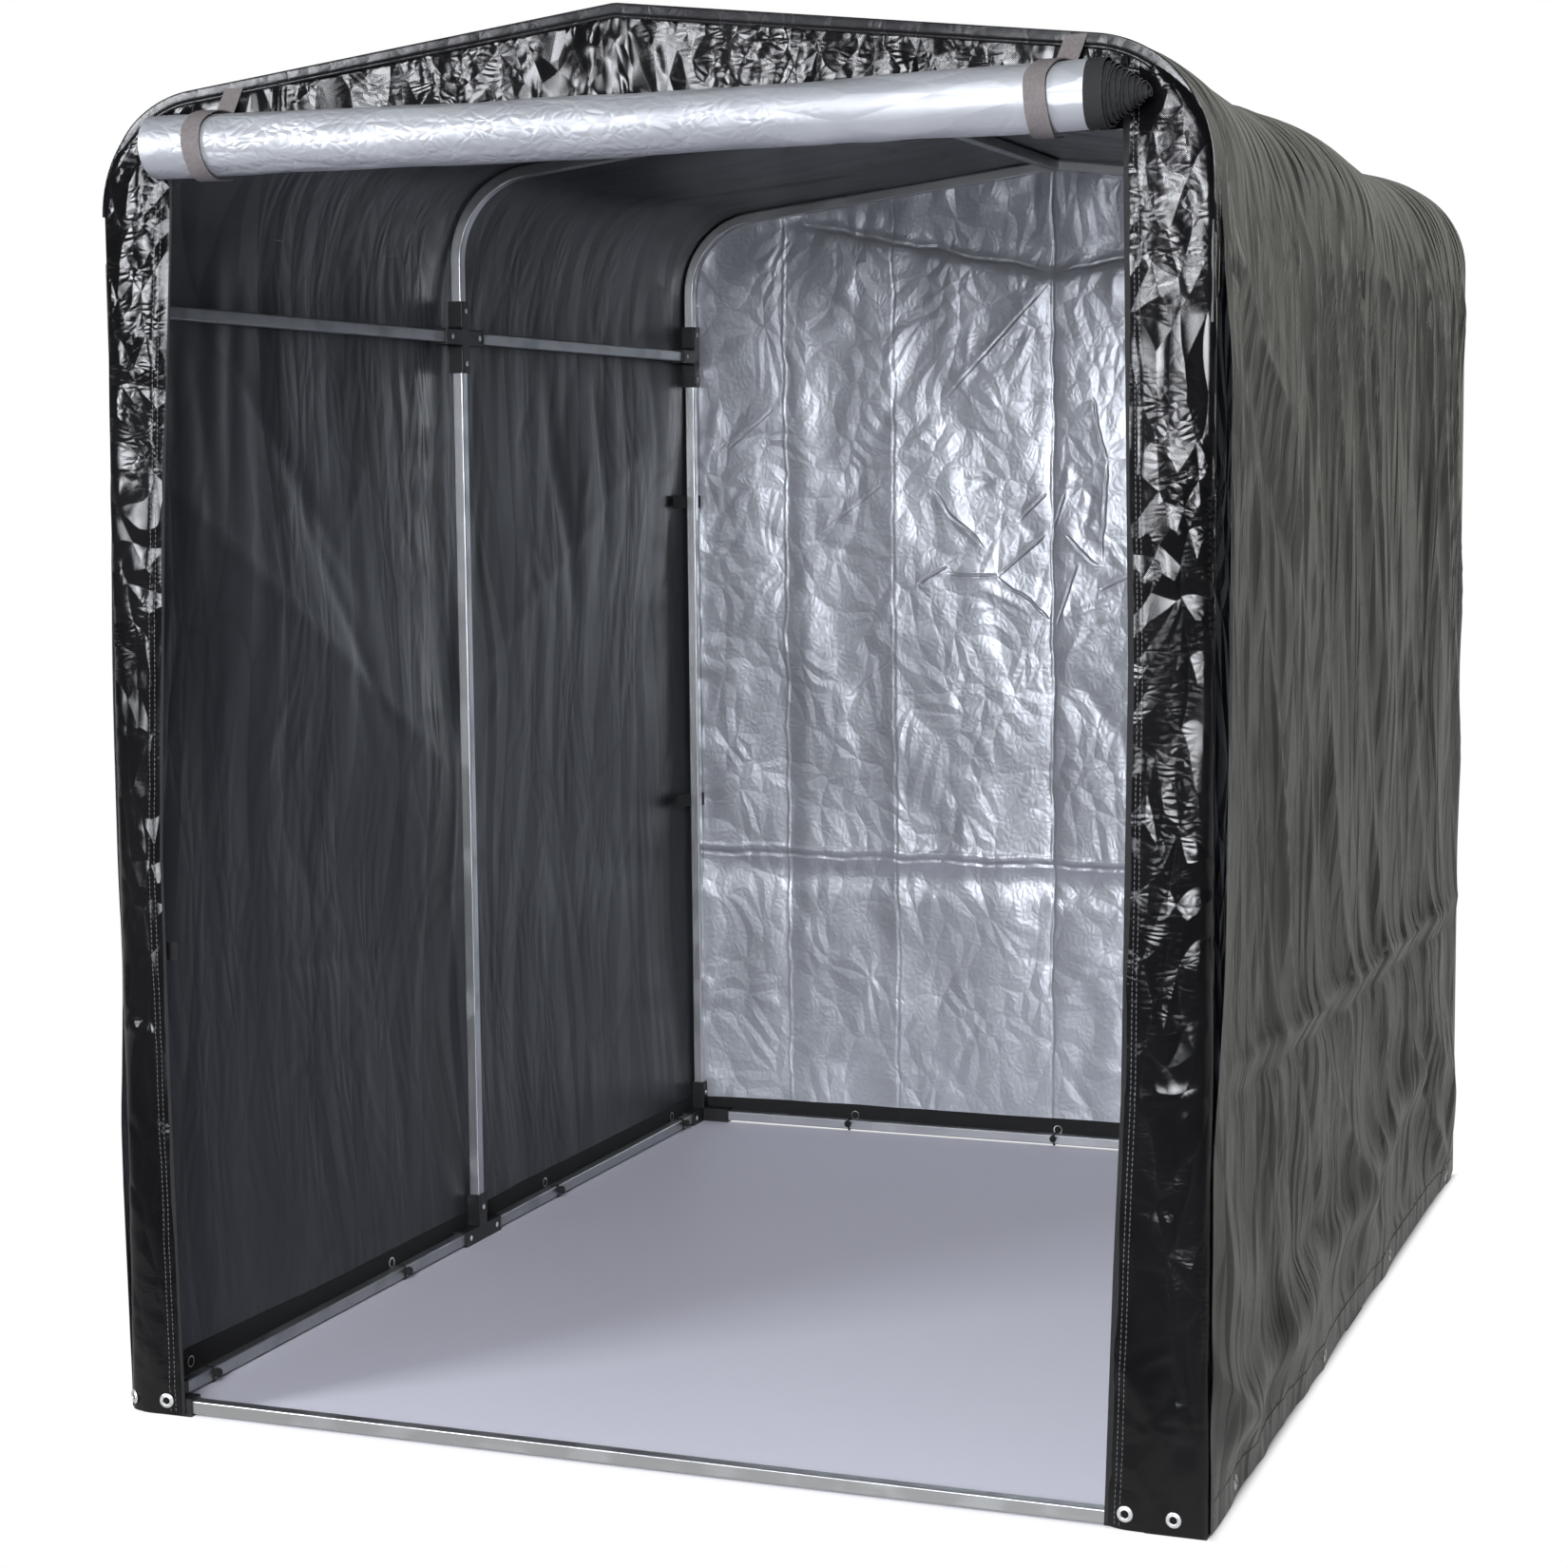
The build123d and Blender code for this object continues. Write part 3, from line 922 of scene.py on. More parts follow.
@dataclass
class Tunnel:
    """The cover's section from the left hem over the roof to the right hem, unrolled along s."""

    half: float
    hem: float
    spring: float
    radius: float = 0.17025
    pitch: float = math.radians(6.85)

    def __post_init__(self) -> None:
        """Work out the lengths of the section."""
        self.wall = self.spring - self.hem
        self.arc = self.radius * (math.pi / 2 - self.pitch)
        self.slope_x = self.half - self.radius + self.radius * math.sin(self.pitch)
        self.slope = self.slope_x / math.cos(self.pitch)
        self.total = 2 * (self.wall + self.arc + self.slope)

    def at(self, s: Array) -> tuple[Array, Array, Array, Array]:
        """Give x, z and the outward direction's x and z at each s."""
        sign = np.where(s > self.total / 2, 1.0, -1.0)
        near = np.minimum(s, self.total - s)
        turn = np.clip((near - self.wall) / self.radius, 0.0, math.pi / 2 - self.pitch)
        climb = np.clip(near - self.wall - self.arc, 0.0, None)
        x = -(self.half - self.radius) - self.radius * np.cos(turn) + climb * math.cos(self.pitch)
        z = np.where(near < self.wall, self.hem + near, self.spring + self.radius * np.sin(turn))
        z = z + climb * math.sin(self.pitch)
        return -x * sign, z, np.cos(turn) * sign, np.sin(turn)


class Cover:
    """The sheet cover: walls, roof, rear wall, front strips and gable panel."""

    thickness = 0.0007
    hem_band = 0.048
    corner_gap = 0.026
    corner_flare = 0.012
    front_lap = 0.003
    rear_lap = 0.0012
    columns = 192
    roof_sag = 0.012
    eave_sag = 0.003
    wall_dip, roof_dip = 0.009, 0.030
    loft, more_loft = 0.02, 0.024
    hoop_grip, bar_grip, rim_grip = 0.022, 0.03, 0.022
    right_ease, left_ease = 0.006, 0.003  # how far the side walls stand off
    strip_fold = 0.010
    strip_wrap = 0.110
    strip_crown = 0.0065
    closer = 2.2  # how much closer the rear wall's mesh is at the packing star

    def __init__(self, layout: Layout, finishes: Finishes) -> None:
        """Keep the layout and finishes, and draw the section."""
        self.layout = layout
        self.finishes = finishes
        self.tunnel = Tunnel(layout.wall_x, layout.hem, layout.spring)
        self.grids: dict[str, Array] = {}
        self.depths = np.linspace(layout.front - self.front_lap, layout.rear + self.rear_lap, self.columns)

    def bulge(self, z: Array) -> Array:
        """Give how far the left front corner hangs clear of its leg at each height."""
        return np.interp(z, (0.0, 0.5, 1.0, 1.5, 1.75), (0.017, 0.012, 0.010, 0.005, 0.0))

    def bay_share(self, y: Array) -> Array:
        """Give 0 at each hoop and 1 halfway between hoops."""
        front, middle_y, rear = self.layout.hoops
        share = np.where(y < middle_y, (y - front) / (middle_y - front), (y - middle_y) / (rear - middle_y))
        return np.sin(np.pi * np.clip(share, 0.0, 1.0)) ** 2

    def right_folds(self, y: Array, z: Array) -> Array:
        """Give the folds of the right wall: leaning drapes over a fold line from packing."""
        ripple = Ripples(23)
        drapes = ripple.stack(
            y, z, Layer(Ply.RIDGED, 0.30, 0.085, 0.60, 0.0120), Layer(Ply.SMOOTH, 0.06, 0.12, 0.80, 0.0060),
            Layer(Ply.RIDGED, 0.06, 0.040, 0.36, 0.0042), Layer(Ply.SMOOTH, 0.30, 0.027, 0.20, 0.0014),
        )
        foot = ripple.stack(y, z, Layer(Ply.RIDGED, 1.4, 0.16, 0.40, 0.017))
        return drapes + (1 - smoothstep(z, 0.36, 0.60)) * foot + folded(y, z, RIGHT_FOLDS)

    def left_folds(self, y: Array, z: Array) -> Array:
        """Give the folds of the left wall: soft upright streaks and slanting tension folds."""
        ripple = Ripples(11)
        fold = ripple.stack(
            y, z, Layer(Ply.SMOOTH, 0.0, 0.13, 0.90, 0.0050), Layer(Ply.SMOOTH, 0.0, 0.036, 0.30, 0.0014)
        )
        streaks = ripple.stack(y, z, Layer(Ply.RIDGED, -0.08, 0.065, 0.30, 0.0050))
        fold += streaks * smoothstep(z, 1.0, 1.5)
        fold += Crumple(13, 260, 0.0022, 0.010, (0.06, 0.24), (1.45, 0.4)).lift(y, z)
        from_middle = y - self.layout.hoops[1]
        tension = (  # a line in each bay, and the rise and breadth on its two sides
            (from_middle < 0, (-1.02, 1.44), (0.0, 0.84), (0.026, 0.36), (0.008, 0.20)),
            (from_middle > 0, (0.95, 1.52), (0.0, 0.98), (0.010, 0.20), (0.020, 0.36)),
        )
        for bay, (y0, z0), (y1, z1), *sides in tension:
            off = (from_middle - y0) * (z1 - z0) - (z - z0) * (y1 - y0)
            off = off / math.hypot(y1 - y0, z1 - z0)
            for (rise, breadth), away in zip(sides, (off, -off)):
                fold += bay * rise * smoothstep(away, 0.0, breadth) * smoothstep(z, 0.0, 0.45)
        return fold + folded(from_middle, z, LEFT_FOLDS)

    def roof_folds(self, y: Array, x: Array) -> Array:
        """Give the folds of the roof between the hoops."""
        fold = Ripples(37).stack(
            y, x, Layer(Ply.SMOOTH, 0.0, 0.30, 0.22, 0.0040), Layer(Ply.SMOOTH, 0.0, 0.11, 0.16, 0.0020)
        )
        return fold + folded(y - self.layout.hoops[1], x, ROOF_FOLDS)

    def lift(self, s: Array, y: Array) -> Array:
        """Give how far the walls and roof stand outside their plain section."""
        t, lay = self.tunnel, self.layout
        near = np.minimum(s, t.total - s)
        right = s > t.total / 2
        x, z, _, _ = t.at(s)
        roof = smoothstep(near, t.wall - 0.10, t.wall + 0.06)
        wall = 1.0 - roof
        ridge = smoothstep(near, t.total / 2 - 0.30, t.total / 2)
        eave = bell(near - t.wall - 0.12, 0.11)
        sag = -self.bay_share(y) * (self.roof_sag * roof * (1 - ridge) + self.eave_sag * eave)
        front_end = smoothstep(y, lay.front, lay.front + 0.09)
        ends = np.minimum(front_end, 1 - smoothstep(y, lay.rear - 0.07, lay.rear))
        ends = ends * (0.3 + 0.7 * smoothstep(z, 0.01, 0.12))
        right_wall, left_wall = self.right_folds(y, z), self.left_folds(y, z)
        folds = np.where(right, right_wall + self.right_ease, left_wall + self.left_ease)
        eased = 1 - smoothstep(z, t.spring - 0.30, t.spring - 0.02)
        flare = (self.corner_flare * smoothstep(z, 0.48, 0.85) + 0.003) * eased
        flare = flare * (1 - smoothstep(y, lay.front + 0.03, lay.front + 0.17))
        slack = self.bulge(z) * (1 - smoothstep(y, lay.front + 0.10, lay.front + 0.70))
        lift = sag + ends * (wall * folds + roof * self.roof_folds(y, x))
        lift = lift + (flare + np.where(right, 0.0, slack)) * wall
        hoop = np.max([bell(y - place, self.hoop_grip) for place in lay.hoops], axis=0)
        bar = np.maximum(bell(z - lay.purlin_z, self.bar_grip), 1 - smoothstep(z, 0.03, 0.09))
        held = np.maximum(hoop, np.where(wall > 0.5, bar, bell(x, self.bar_grip)))
        deep = np.where(wall > 0.5, -self.wall_dip, -self.roof_dip)
        eased_off = self.loft + self.more_loft * np.tanh((lift - self.loft) / self.more_loft)
        lift = np.where(lift > self.loft, eased_off, lift)
        return np.maximum(lift, deep * (1 - np.clip(held * 1.4, 0.0, 1.0)))

    def tunnel_sheet(self, node: str, low: float, high: float, front: float, cell: float) -> None:
        """Make the part of the walls and roof between two places along the section.

        Args:
            node: the solid it stands for.
            low: where it starts along s.
            high: where it ends.
            front: depth at which it starts.
            cell: size of its mesh cells.
        """
        f = self.finishes
        s = np.linspace(low, high, int((high - low) / cell) + 1)
        y = self.depths[self.depths > front - 1e-6]
        ss, yy = np.meshgrid(s, y, indexing="ij")
        x, z, nx, nz = self.tunnel.at(ss)
        lift = self.lift(ss, yy)
        if front > self.layout.front:
            lap = (1 - smoothstep(z, 0.42, 0.74)) * (1 - smoothstep(yy, front, front + 0.2))
            yy = yy - self.corner_gap * lap
        points = np.stack([x + nx * lift, yy, z + nz * lift], -1)
        # The room side takes the silver sheet darkened as painted shade.
        self.keep(f"{node}_sheet", node, points, [f.wall_black, f.charcoal, f.binding])

    def keep(self, name: str, node: str, points: Array, materials: list[Material]) -> None:
        """Args:
            name: the piece's name.
            node: the solid it stands for.
            points: its middle points.
            materials: outside, inside and hem band.
        """
        made = sheet_object(name, points, self.thickness, materials, points[:-1, :-1, 2] < self.hem_band)
        self.grids[node] = points
        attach(made, BODY)
        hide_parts(node)
        LOG.info("sheet %s, %d faces", name, len(made.data.polygons))

    def top_at(self, x: Array) -> Array:
        """Give the roof line's height above each x."""
        t = self.tunnel
        reach = np.abs(x)
        turned = np.clip(reach - (t.half - t.radius), 0.0, t.radius)
        arc = t.spring + np.sqrt(np.maximum(t.radius ** 2 - turned ** 2, 0.0))
        start = t.spring + t.radius * math.cos(t.pitch)
        slope = start + (t.slope_x - reach) * math.tan(t.pitch)
        return np.where(reach < t.slope_x, slope, arc)

    def rear_lift(self, x: Array, z: Array) -> Array:
        """Give how far the rear wall stands outward of its plane."""
        lift = Ripples(53).stack(
            x, z, Layer(Ply.SMOOTH, 0.0, 0.055, 0.085, 0.0024), Layer(Ply.SMOOTH, 0.0, 0.16, 0.40, 0.0040),
            Layer(Ply.RIDGED, 0.2, 0.060, 0.095, 0.0022),
        )
        lift += Crumple(61, 300, 0.0028, 0.015, (0.05, 0.18), (1.2, 0.9)).lift(x, z)
        lift += folded(x, z, REAR_FOLDS)
        above = z - np.interp(x, (-0.80, -0.56, -0.012, 0.50, 0.80), (1.94, 1.91, 1.787, 1.865, 1.90))
        pleat = smoothstep(above, -0.022, 0.014) * (1 - smoothstep(above, 0.014, 0.13))
        lift += 0.012 * pleat * smoothstep(0.60 - np.abs(x + 0.03), 0.0, 0.12)
        over = np.maximum(self.top_at(x) - z, 0.0)
        side = self.layout.wall_x - np.abs(x)
        edge = np.minimum(side, over)
        along = np.where(side < over, z, x)
        lift += bell(edge, 0.05) * Ripples(67).field(along, edge, 0.024, 0.05) * 0.0045
        held = np.maximum(bell(edge, self.rim_grip), 1 - smoothstep(z, 0.02, 0.06))
        lift = lift * smoothstep(edge, 0.0, 0.03)
        return np.maximum(lift, -self.loft * (1 - np.clip(held * 1.5, 0.0, 1.0)))

    def spread(self, length: float, count: int, dense: Pair, weight: float) -> Array:
        """Share points along a length, closer together over one stretch.

        Args:
            length: of the whole run.
            count: how many points.
            dense: start and end of the close stretch.
            weight: how much closer they stand there.

        Returns:
            The places from 0 to the length.
        """
        fine = np.linspace(0.0, length, 4000)
        start, end = dense
        inside = smoothstep(fine, start - 0.05, start) * (1 - smoothstep(fine, end, end + 0.05))
        total = np.cumsum(1.0 + (weight - 1.0) * inside)
        total = (total - total[0]) / (total[-1] - total[0])
        return np.interp(np.linspace(0.0, 1.0, count), total, fine)

    def rear_wall(self) -> None:
        """Make the rear wall, its mesh closest where the packing star is."""
        t, lay, f = self.tunnel, self.layout, self.finishes
        run = t.total - 2 * t.wall
        s = t.wall + self.spread(run, 218, (run / 2 - 0.32, run / 2 + 0.20), self.closer)
        x, top, _, _ = t.at(s)
        tall = float(top.max()) - lay.hem
        share = self.spread(tall, 216, (1.02 - lay.hem, 1.46 - lay.hem), self.closer) / tall
        zz = lay.hem + share[:, None] * (top - lay.hem)[None]
        xx = np.broadcast_to(x[None], zz.shape)
        points = np.stack([xx, lay.rear_y + self.rear_lift(xx, zz), zz], -1)
        self.keep("cover_rear_wall_sheet", "cover_rear_wall", points, [f.rear_black, f.silver, f.binding])

    def front_folds(self, x: Array, z: Array) -> Array:
        """Give the folds of the front: crumpled at the top, nearly smooth near the ground."""
        ripple = Ripples(71)
        upper = smoothstep(z, 0.25, 1.35)
        gable = smoothstep(z, 1.80, 1.86)
        loose = ripple.stack(
            x, z, Layer(Ply.SMOOTH, 0.0, 0.050, 0.20, 0.0045), Layer(Ply.RIDGED, 0.2, 0.036, 0.11, 0.0030),
            Layer(Ply.SMOOTH, 0.0, 0.022, 0.045, 0.0014),
        )
        upright = ripple.stack(
            x, z, Layer(Ply.RIDGED, 0.0, 0.058, 0.50, 0.0085), Layer(Ply.SMOOTH, 0.0, 0.032, 0.16, 0.0040)
        )
        smooth = ripple.stack(
            x, z, Layer(Ply.SMOOTH, 0.0, 0.09, 0.45, 0.0032), Layer(Ply.RIDGED, 0.5, 0.06, 0.12, 0.0030)
        )
        return 0.003 + (1 - gable) * (upper * loose + (1 - upper) * smooth) + gable * upright

    def gable(self) -> None:
        """Make the panel over the doorway."""
        lay, f = self.layout, self.finishes
        x = np.linspace(-lay.strip_inner, lay.strip_inner, 270)
        top = self.top_at(x)
        zz = lay.door_top + np.linspace(0.0, 1.0, 40)[:, None] * (top - lay.door_top)[None]
        xx = np.broadcast_to(x[None], zz.shape)
        folds = self.front_folds(xx, zz)
        folds += Crumple(73, 260, 0.0038, 0.010, (0.03, 0.10), (1.45, 0.5)).lift(xx, zz)
        free = smoothstep(zz, lay.roll_z + 0.015, lay.roll_z + 0.05) * smoothstep(top[None] - zz, 0.0, 0.025)
        points = np.stack([xx, lay.strip_y - np.maximum(folds, 0.0) * free - 0.0004, zz], -1)[:, ::-1]
        self.keep("front_gable_sheet", "front_gable_panel", points, [f.gloss_black, f.silver, f.binding])

    def strip_edge(self, side: Side, z: Array) -> Array:
        """Give how far from the middle a strip's edge along the doorway stands at each height."""
        if side is Side.LEFT:
            return np.interp(z, (0.0, 0.45, 0.85, 1.35, 1.80), (0.735, 0.742, 0.744, 0.722, 0.692))
        return np.interp(z, (0.0, 0.35, 0.58, 1.14, 1.80), (0.672, 0.684, 0.694, 0.702, 0.694))

    def strip(self, side: Side) -> None:
        """Make one front strip, from the hem to the roof line and wrapped round the corner."""
        lay, f = self.layout, self.finishes
        radius, rows, columns = self.strip_fold, 360, 36
        nominal = np.linspace(lay.hem, self.top_at(np.array(lay.strip_inner)), rows)
        edge = self.strip_edge(side, nominal)[:, None]
        corner = lay.wall_x + 0.0015
        if side is Side.LEFT:
            corner = corner + self.bulge(nominal)[:, None]
        flat = corner - radius - edge
        bend = radius * math.pi / 2
        a = np.linspace(0.0, 1.0, columns)[None] * (flat + bend + self.strip_wrap)
        turn = np.clip((a - flat) / radius, 0.0, math.pi / 2)
        back = np.clip(a - flat - bend, 0.0, None)
        reach = edge + np.minimum(a, flat) + radius * np.sin(turn)
        top = np.maximum(self.top_at(np.minimum(reach, lay.wall_x)), lay.spring)
        z = lay.hem + np.linspace(0.0, 1.0, rows)[:, None] * (top - lay.hem)
        x = side.value * reach
        crown = self.strip_crown * np.sin(np.pi * np.clip(a / flat, 0.0, 1.0)) ** 0.8
        folds = self.front_folds(x, z)
        seed = 83 if side is Side.LEFT else 89
        crumples = Crumple(seed, 200, 0.0024, 0.009, (0.03, 0.12), (1.3, 0.7)).lift(a, z)
        folds += crumples * (0.75 + 0.25 * smoothstep(z, 0.3, 1.2))
        folds += Crease((0.0, 0.575), (0.14, 0.60), 0.003, 0.010, False).lift(a, z)
        free = smoothstep(a, 0.0, 0.02) * (1 - smoothstep(a, flat - 0.004, flat + bend))
        free = free * smoothstep(top - z, 0.0, 0.03)
        free = free * (1 - bell(z - lay.roll_z, 0.05) * (1 - smoothstep(a, 0.02, 0.05)))
        y = lay.strip_y - 0.0008 + radius * (1 - np.cos(turn)) + back
        y = y - (np.maximum(folds, 0.0) + crown) * free
        points = np.stack([x, y, z], -1)
        if side is Side.RIGHT:
            points = points[:, ::-1]
        node = f"front_{side.word}_strip"
        # The strip's room side takes the silver sheet darkened as painted shade.
        self.keep(f"{node}_sheet", node, points, [f.gloss_black, f.strip_lining, f.binding])

    def build(self) -> None:
        """Make every panel."""
        t, lay = self.tunnel, self.layout
        back = lay.front + self.corner_gap
        end = t.total - t.wall
        self.tunnel_sheet("cover_left_wall", 0.0, t.wall, back, 0.012)
        self.tunnel_sheet("cover_roof", t.wall, end, lay.front - self.front_lap, 0.013)
        self.tunnel_sheet("cover_right_wall", end, t.total, back, 0.0105)
        self.rear_wall()
        self.gable()
        for side in Side:
            self.strip(side)


@dataclass
class DoorRoll:
    """The door panel, rolled up outwards so that its silver side shows."""

    layout: Layout
    finishes: Finishes
    core: float = 0.006
    outer: float = 0.0440
    length: float = 1.79
    binding: float = 0.024
    step_out: float = 0.056
    thickness: float = 0.0007
    end_turn: float = math.radians(-35)
    seed: int = 97
    hidden_steps: int = 20  # to a turn
    seen_steps: int = 150
    columns: int = 104
    bound_columns: int = 3
    sag: float = 0.005
    squash: float = 0.07

    def build(self) -> None:
        """Wind the panel into a spiral and make the piece."""
        lay, f = self.layout, self.finishes
        pitch = math.pi * (self.outer ** 2 - self.core ** 2) / self.length
        turns = (self.outer - self.core) / pitch
        hidden = (turns - 2) * 2 * math.pi
        angle = np.concatenate([
            np.linspace(0, hidden, int((turns - 2) * self.hidden_steps), endpoint=False),
            np.linspace(hidden, turns * 2 * math.pi, self.seen_steps),
        ])
        radius = (self.core + pitch * angle / (2 * math.pi))[:, None]
        turn = (angle - angle[-1] + self.end_turn)[:, None]
        cut = 1.0 - self.binding / (2 * lay.roll_half)
        plain = np.linspace(0.0, cut, self.columns)[:-1]
        columns = np.concatenate([plain, np.linspace(cut, 1.0, self.bound_columns + 1)])[None]
        depth = (self.outer - radius) / (self.outer - self.core)
        start = -lay.roll_half + 0.004 * np.sin(turn * 0.37) - 0.002
        end = lay.roll_half + self.step_out * depth + 0.0012 * np.sin(turn * 1.7)
        x = start + columns * (end - start)
        loose = smoothstep(radius, self.outer - 2.2 * pitch, self.outer - pitch)
        dent = Ripples(self.seed).stack(
            x, turn * self.outer + 0 * x, Layer(Ply.SMOOTH, 0.0, 0.16, 0.06, 0.0022),
            Layer(Ply.RIDGED, 1.0, 0.07, 0.04, 0.0020),
        )
        slack = 1 - np.clip(x / lay.roll_half, -1.0, 1.0) ** 2
        reach = radius + dent * loose
        y = lay.roll_y - 0.0005 + reach * np.cos(turn)
        z = lay.roll_z + 0.003 - self.sag * slack + reach * np.sin(turn) * (1 - self.squash * slack)
        points = np.stack([x, np.minimum(y, lay.strip_y - 0.0012), z], -1)
        materials = [f.roll_silver, f.gloss_black, f.binding]
        made = sheet_object("door_roll_sheet", points, self.thickness, materials)
        kinds = np.zeros(len(made.data.polygons), np.int32)
        made.data.polygons.foreach_get("material_index", kinds)
        taped = np.tile(np.arange(columns.size - 1) >= len(plain), len(angle) - 1)
        kinds[: 2 * len(taped)][np.concatenate([taped, taped])] = materials.index(f.binding)
        made.data.polygons.foreach_set("material_index", kinds)
        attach(made, BODY)
        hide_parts("door_roll")
        LOG.info("rolled door, %.1f turns", turns)


@dataclass
class Straps:
    """Webbing straps that hold the rolled door."""

    layout: Layout
    finishes: Finishes
    width: float = 0.029
    thickness: float = 0.0016
    reach: float = 0.0478
    rise: float = 0.034
    wrap: Pair = (66.0, 275.0)  # degrees round the roll, from its back and over the top
    slant: dict[Side, float] = field(default_factory=lambda: {Side.LEFT: 0.020, Side.RIGHT: 0.030})

    def build(self) -> None:
        """Make both straps."""
        lay = self.layout
        turn = np.linspace(*np.radians(self.wrap), 60)
        round_roll = self.reach * np.stack([np.cos(turn), np.sin(turn)], -1)
        loop = np.array([[lay.roll_y, lay.roll_z]]) + round_roll
        top = np.array([[lay.strip_y - 0.006, lay.roll_z + self.reach + self.rise]])
        lead = top + (loop[:1] - top) * np.linspace(0, 1, 14)[:-1, None]
        foot = np.array([[lay.strip_y - 0.003, lay.roll_z - self.reach + 0.004]])
        tail = loop[-1:] + (foot - loop[-1:]) * np.linspace(0, 1, 10)[1:, None]
        path = np.concatenate([lead, loop, tail])
        share = np.linspace(0, 1, len(path))[:, None]
        across = np.linspace(-0.5, 0.5, 9)[None]
        for side in Side:
            curl = 0.0012 * np.sin(share * 19.0 + side.value) * across
            lean = self.slant[side] * np.clip(1.0 - share / 0.45, 0.0, 1.0)
            x = middle(f"door_{side.word}_strap", 0) + across * self.width + lean
            x = x + 0.0015 * np.sin(share * 11.0)
            y = np.broadcast_to(path[:, :1], x.shape) + curl
            z = np.broadcast_to(path[:, 1:], x.shape) + curl
            points = np.stack([x, y, z], -1)[:, ::-1]
            webbing = [self.finishes.webbing] * 2
            piece = sheet_object(f"door_{side.word}_strap_webbing", points, self.thickness, webbing)
            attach(piece, BODY)
            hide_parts(f"door_{side.word}_strap")
            LOG.info("strap %s", side.word)


class TubeFrame:
    """The aluminium frame and its black fittings, which keep their solids."""

    def __init__(self, finishes: Finishes) -> None:
        """Keep the finishes."""
        self.finishes = finishes

    def finish_for(self, node: str) -> Material:
        """Choose the finish of one node by its name."""
        if node.endswith("_fitting"):
            return self.finishes.moulded
        if node == "corner_leg_ties":
            return self.finishes.hook_tape
        if node.endswith("_leg"):
            return self.finishes.tubes[Lie.UP]
        if node.endswith("_bow"):
            return self.finishes.tubes[Lie.BENT]
        if node in ("front_base_rail", "rear_base_rail"):
            return self.finishes.tubes[Lie.ACROSS]
        return self.finishes.tubes[Lie.DEEP]

    def dress(self) -> None:
        """Give every node its finish."""
        for name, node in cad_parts.items():
            node.data.materials.clear()
            node.data.materials.append(self.finish_for(name))


def band_object(name: str, path: Array, across: Array, out: Array, size: Pair, material: Material) -> Piece:
    """Make a flat band with rounded edges along a path.

    Args:
        name: the object's name.
        path: points along the middle.
        across: unit direction of the width at each point.
        out: unit direction of the thickness at each point.
        size: width and thickness.
        material: its material.

    Returns:
        The linked object.
    """
    heading = np.gradient(path, axis=0)
    if float((np.cross(across, out) * heading).sum()) < 0:
        across = -across
    turn = np.linspace(0, 2 * math.pi, 14, endpoint=False)
    u = np.sign(np.cos(turn)) * np.abs(np.cos(turn)) ** 0.5 * size[0] / 2
    v = np.sign(np.sin(turn)) * np.abs(np.sin(turn)) ** 0.5 * size[1] / 2
    rings = path[:, None] + across[:, None] * u[None, :, None] + out[:, None] * v[None, :, None]
    return ring_object(name, rings, material)


class Shape(Enum):
    """Small shapes that stand at many points."""

    STITCH = "stitch"
    EYELET = "eyelet"
    SCREW = "screw"
    LOOP = "loop"


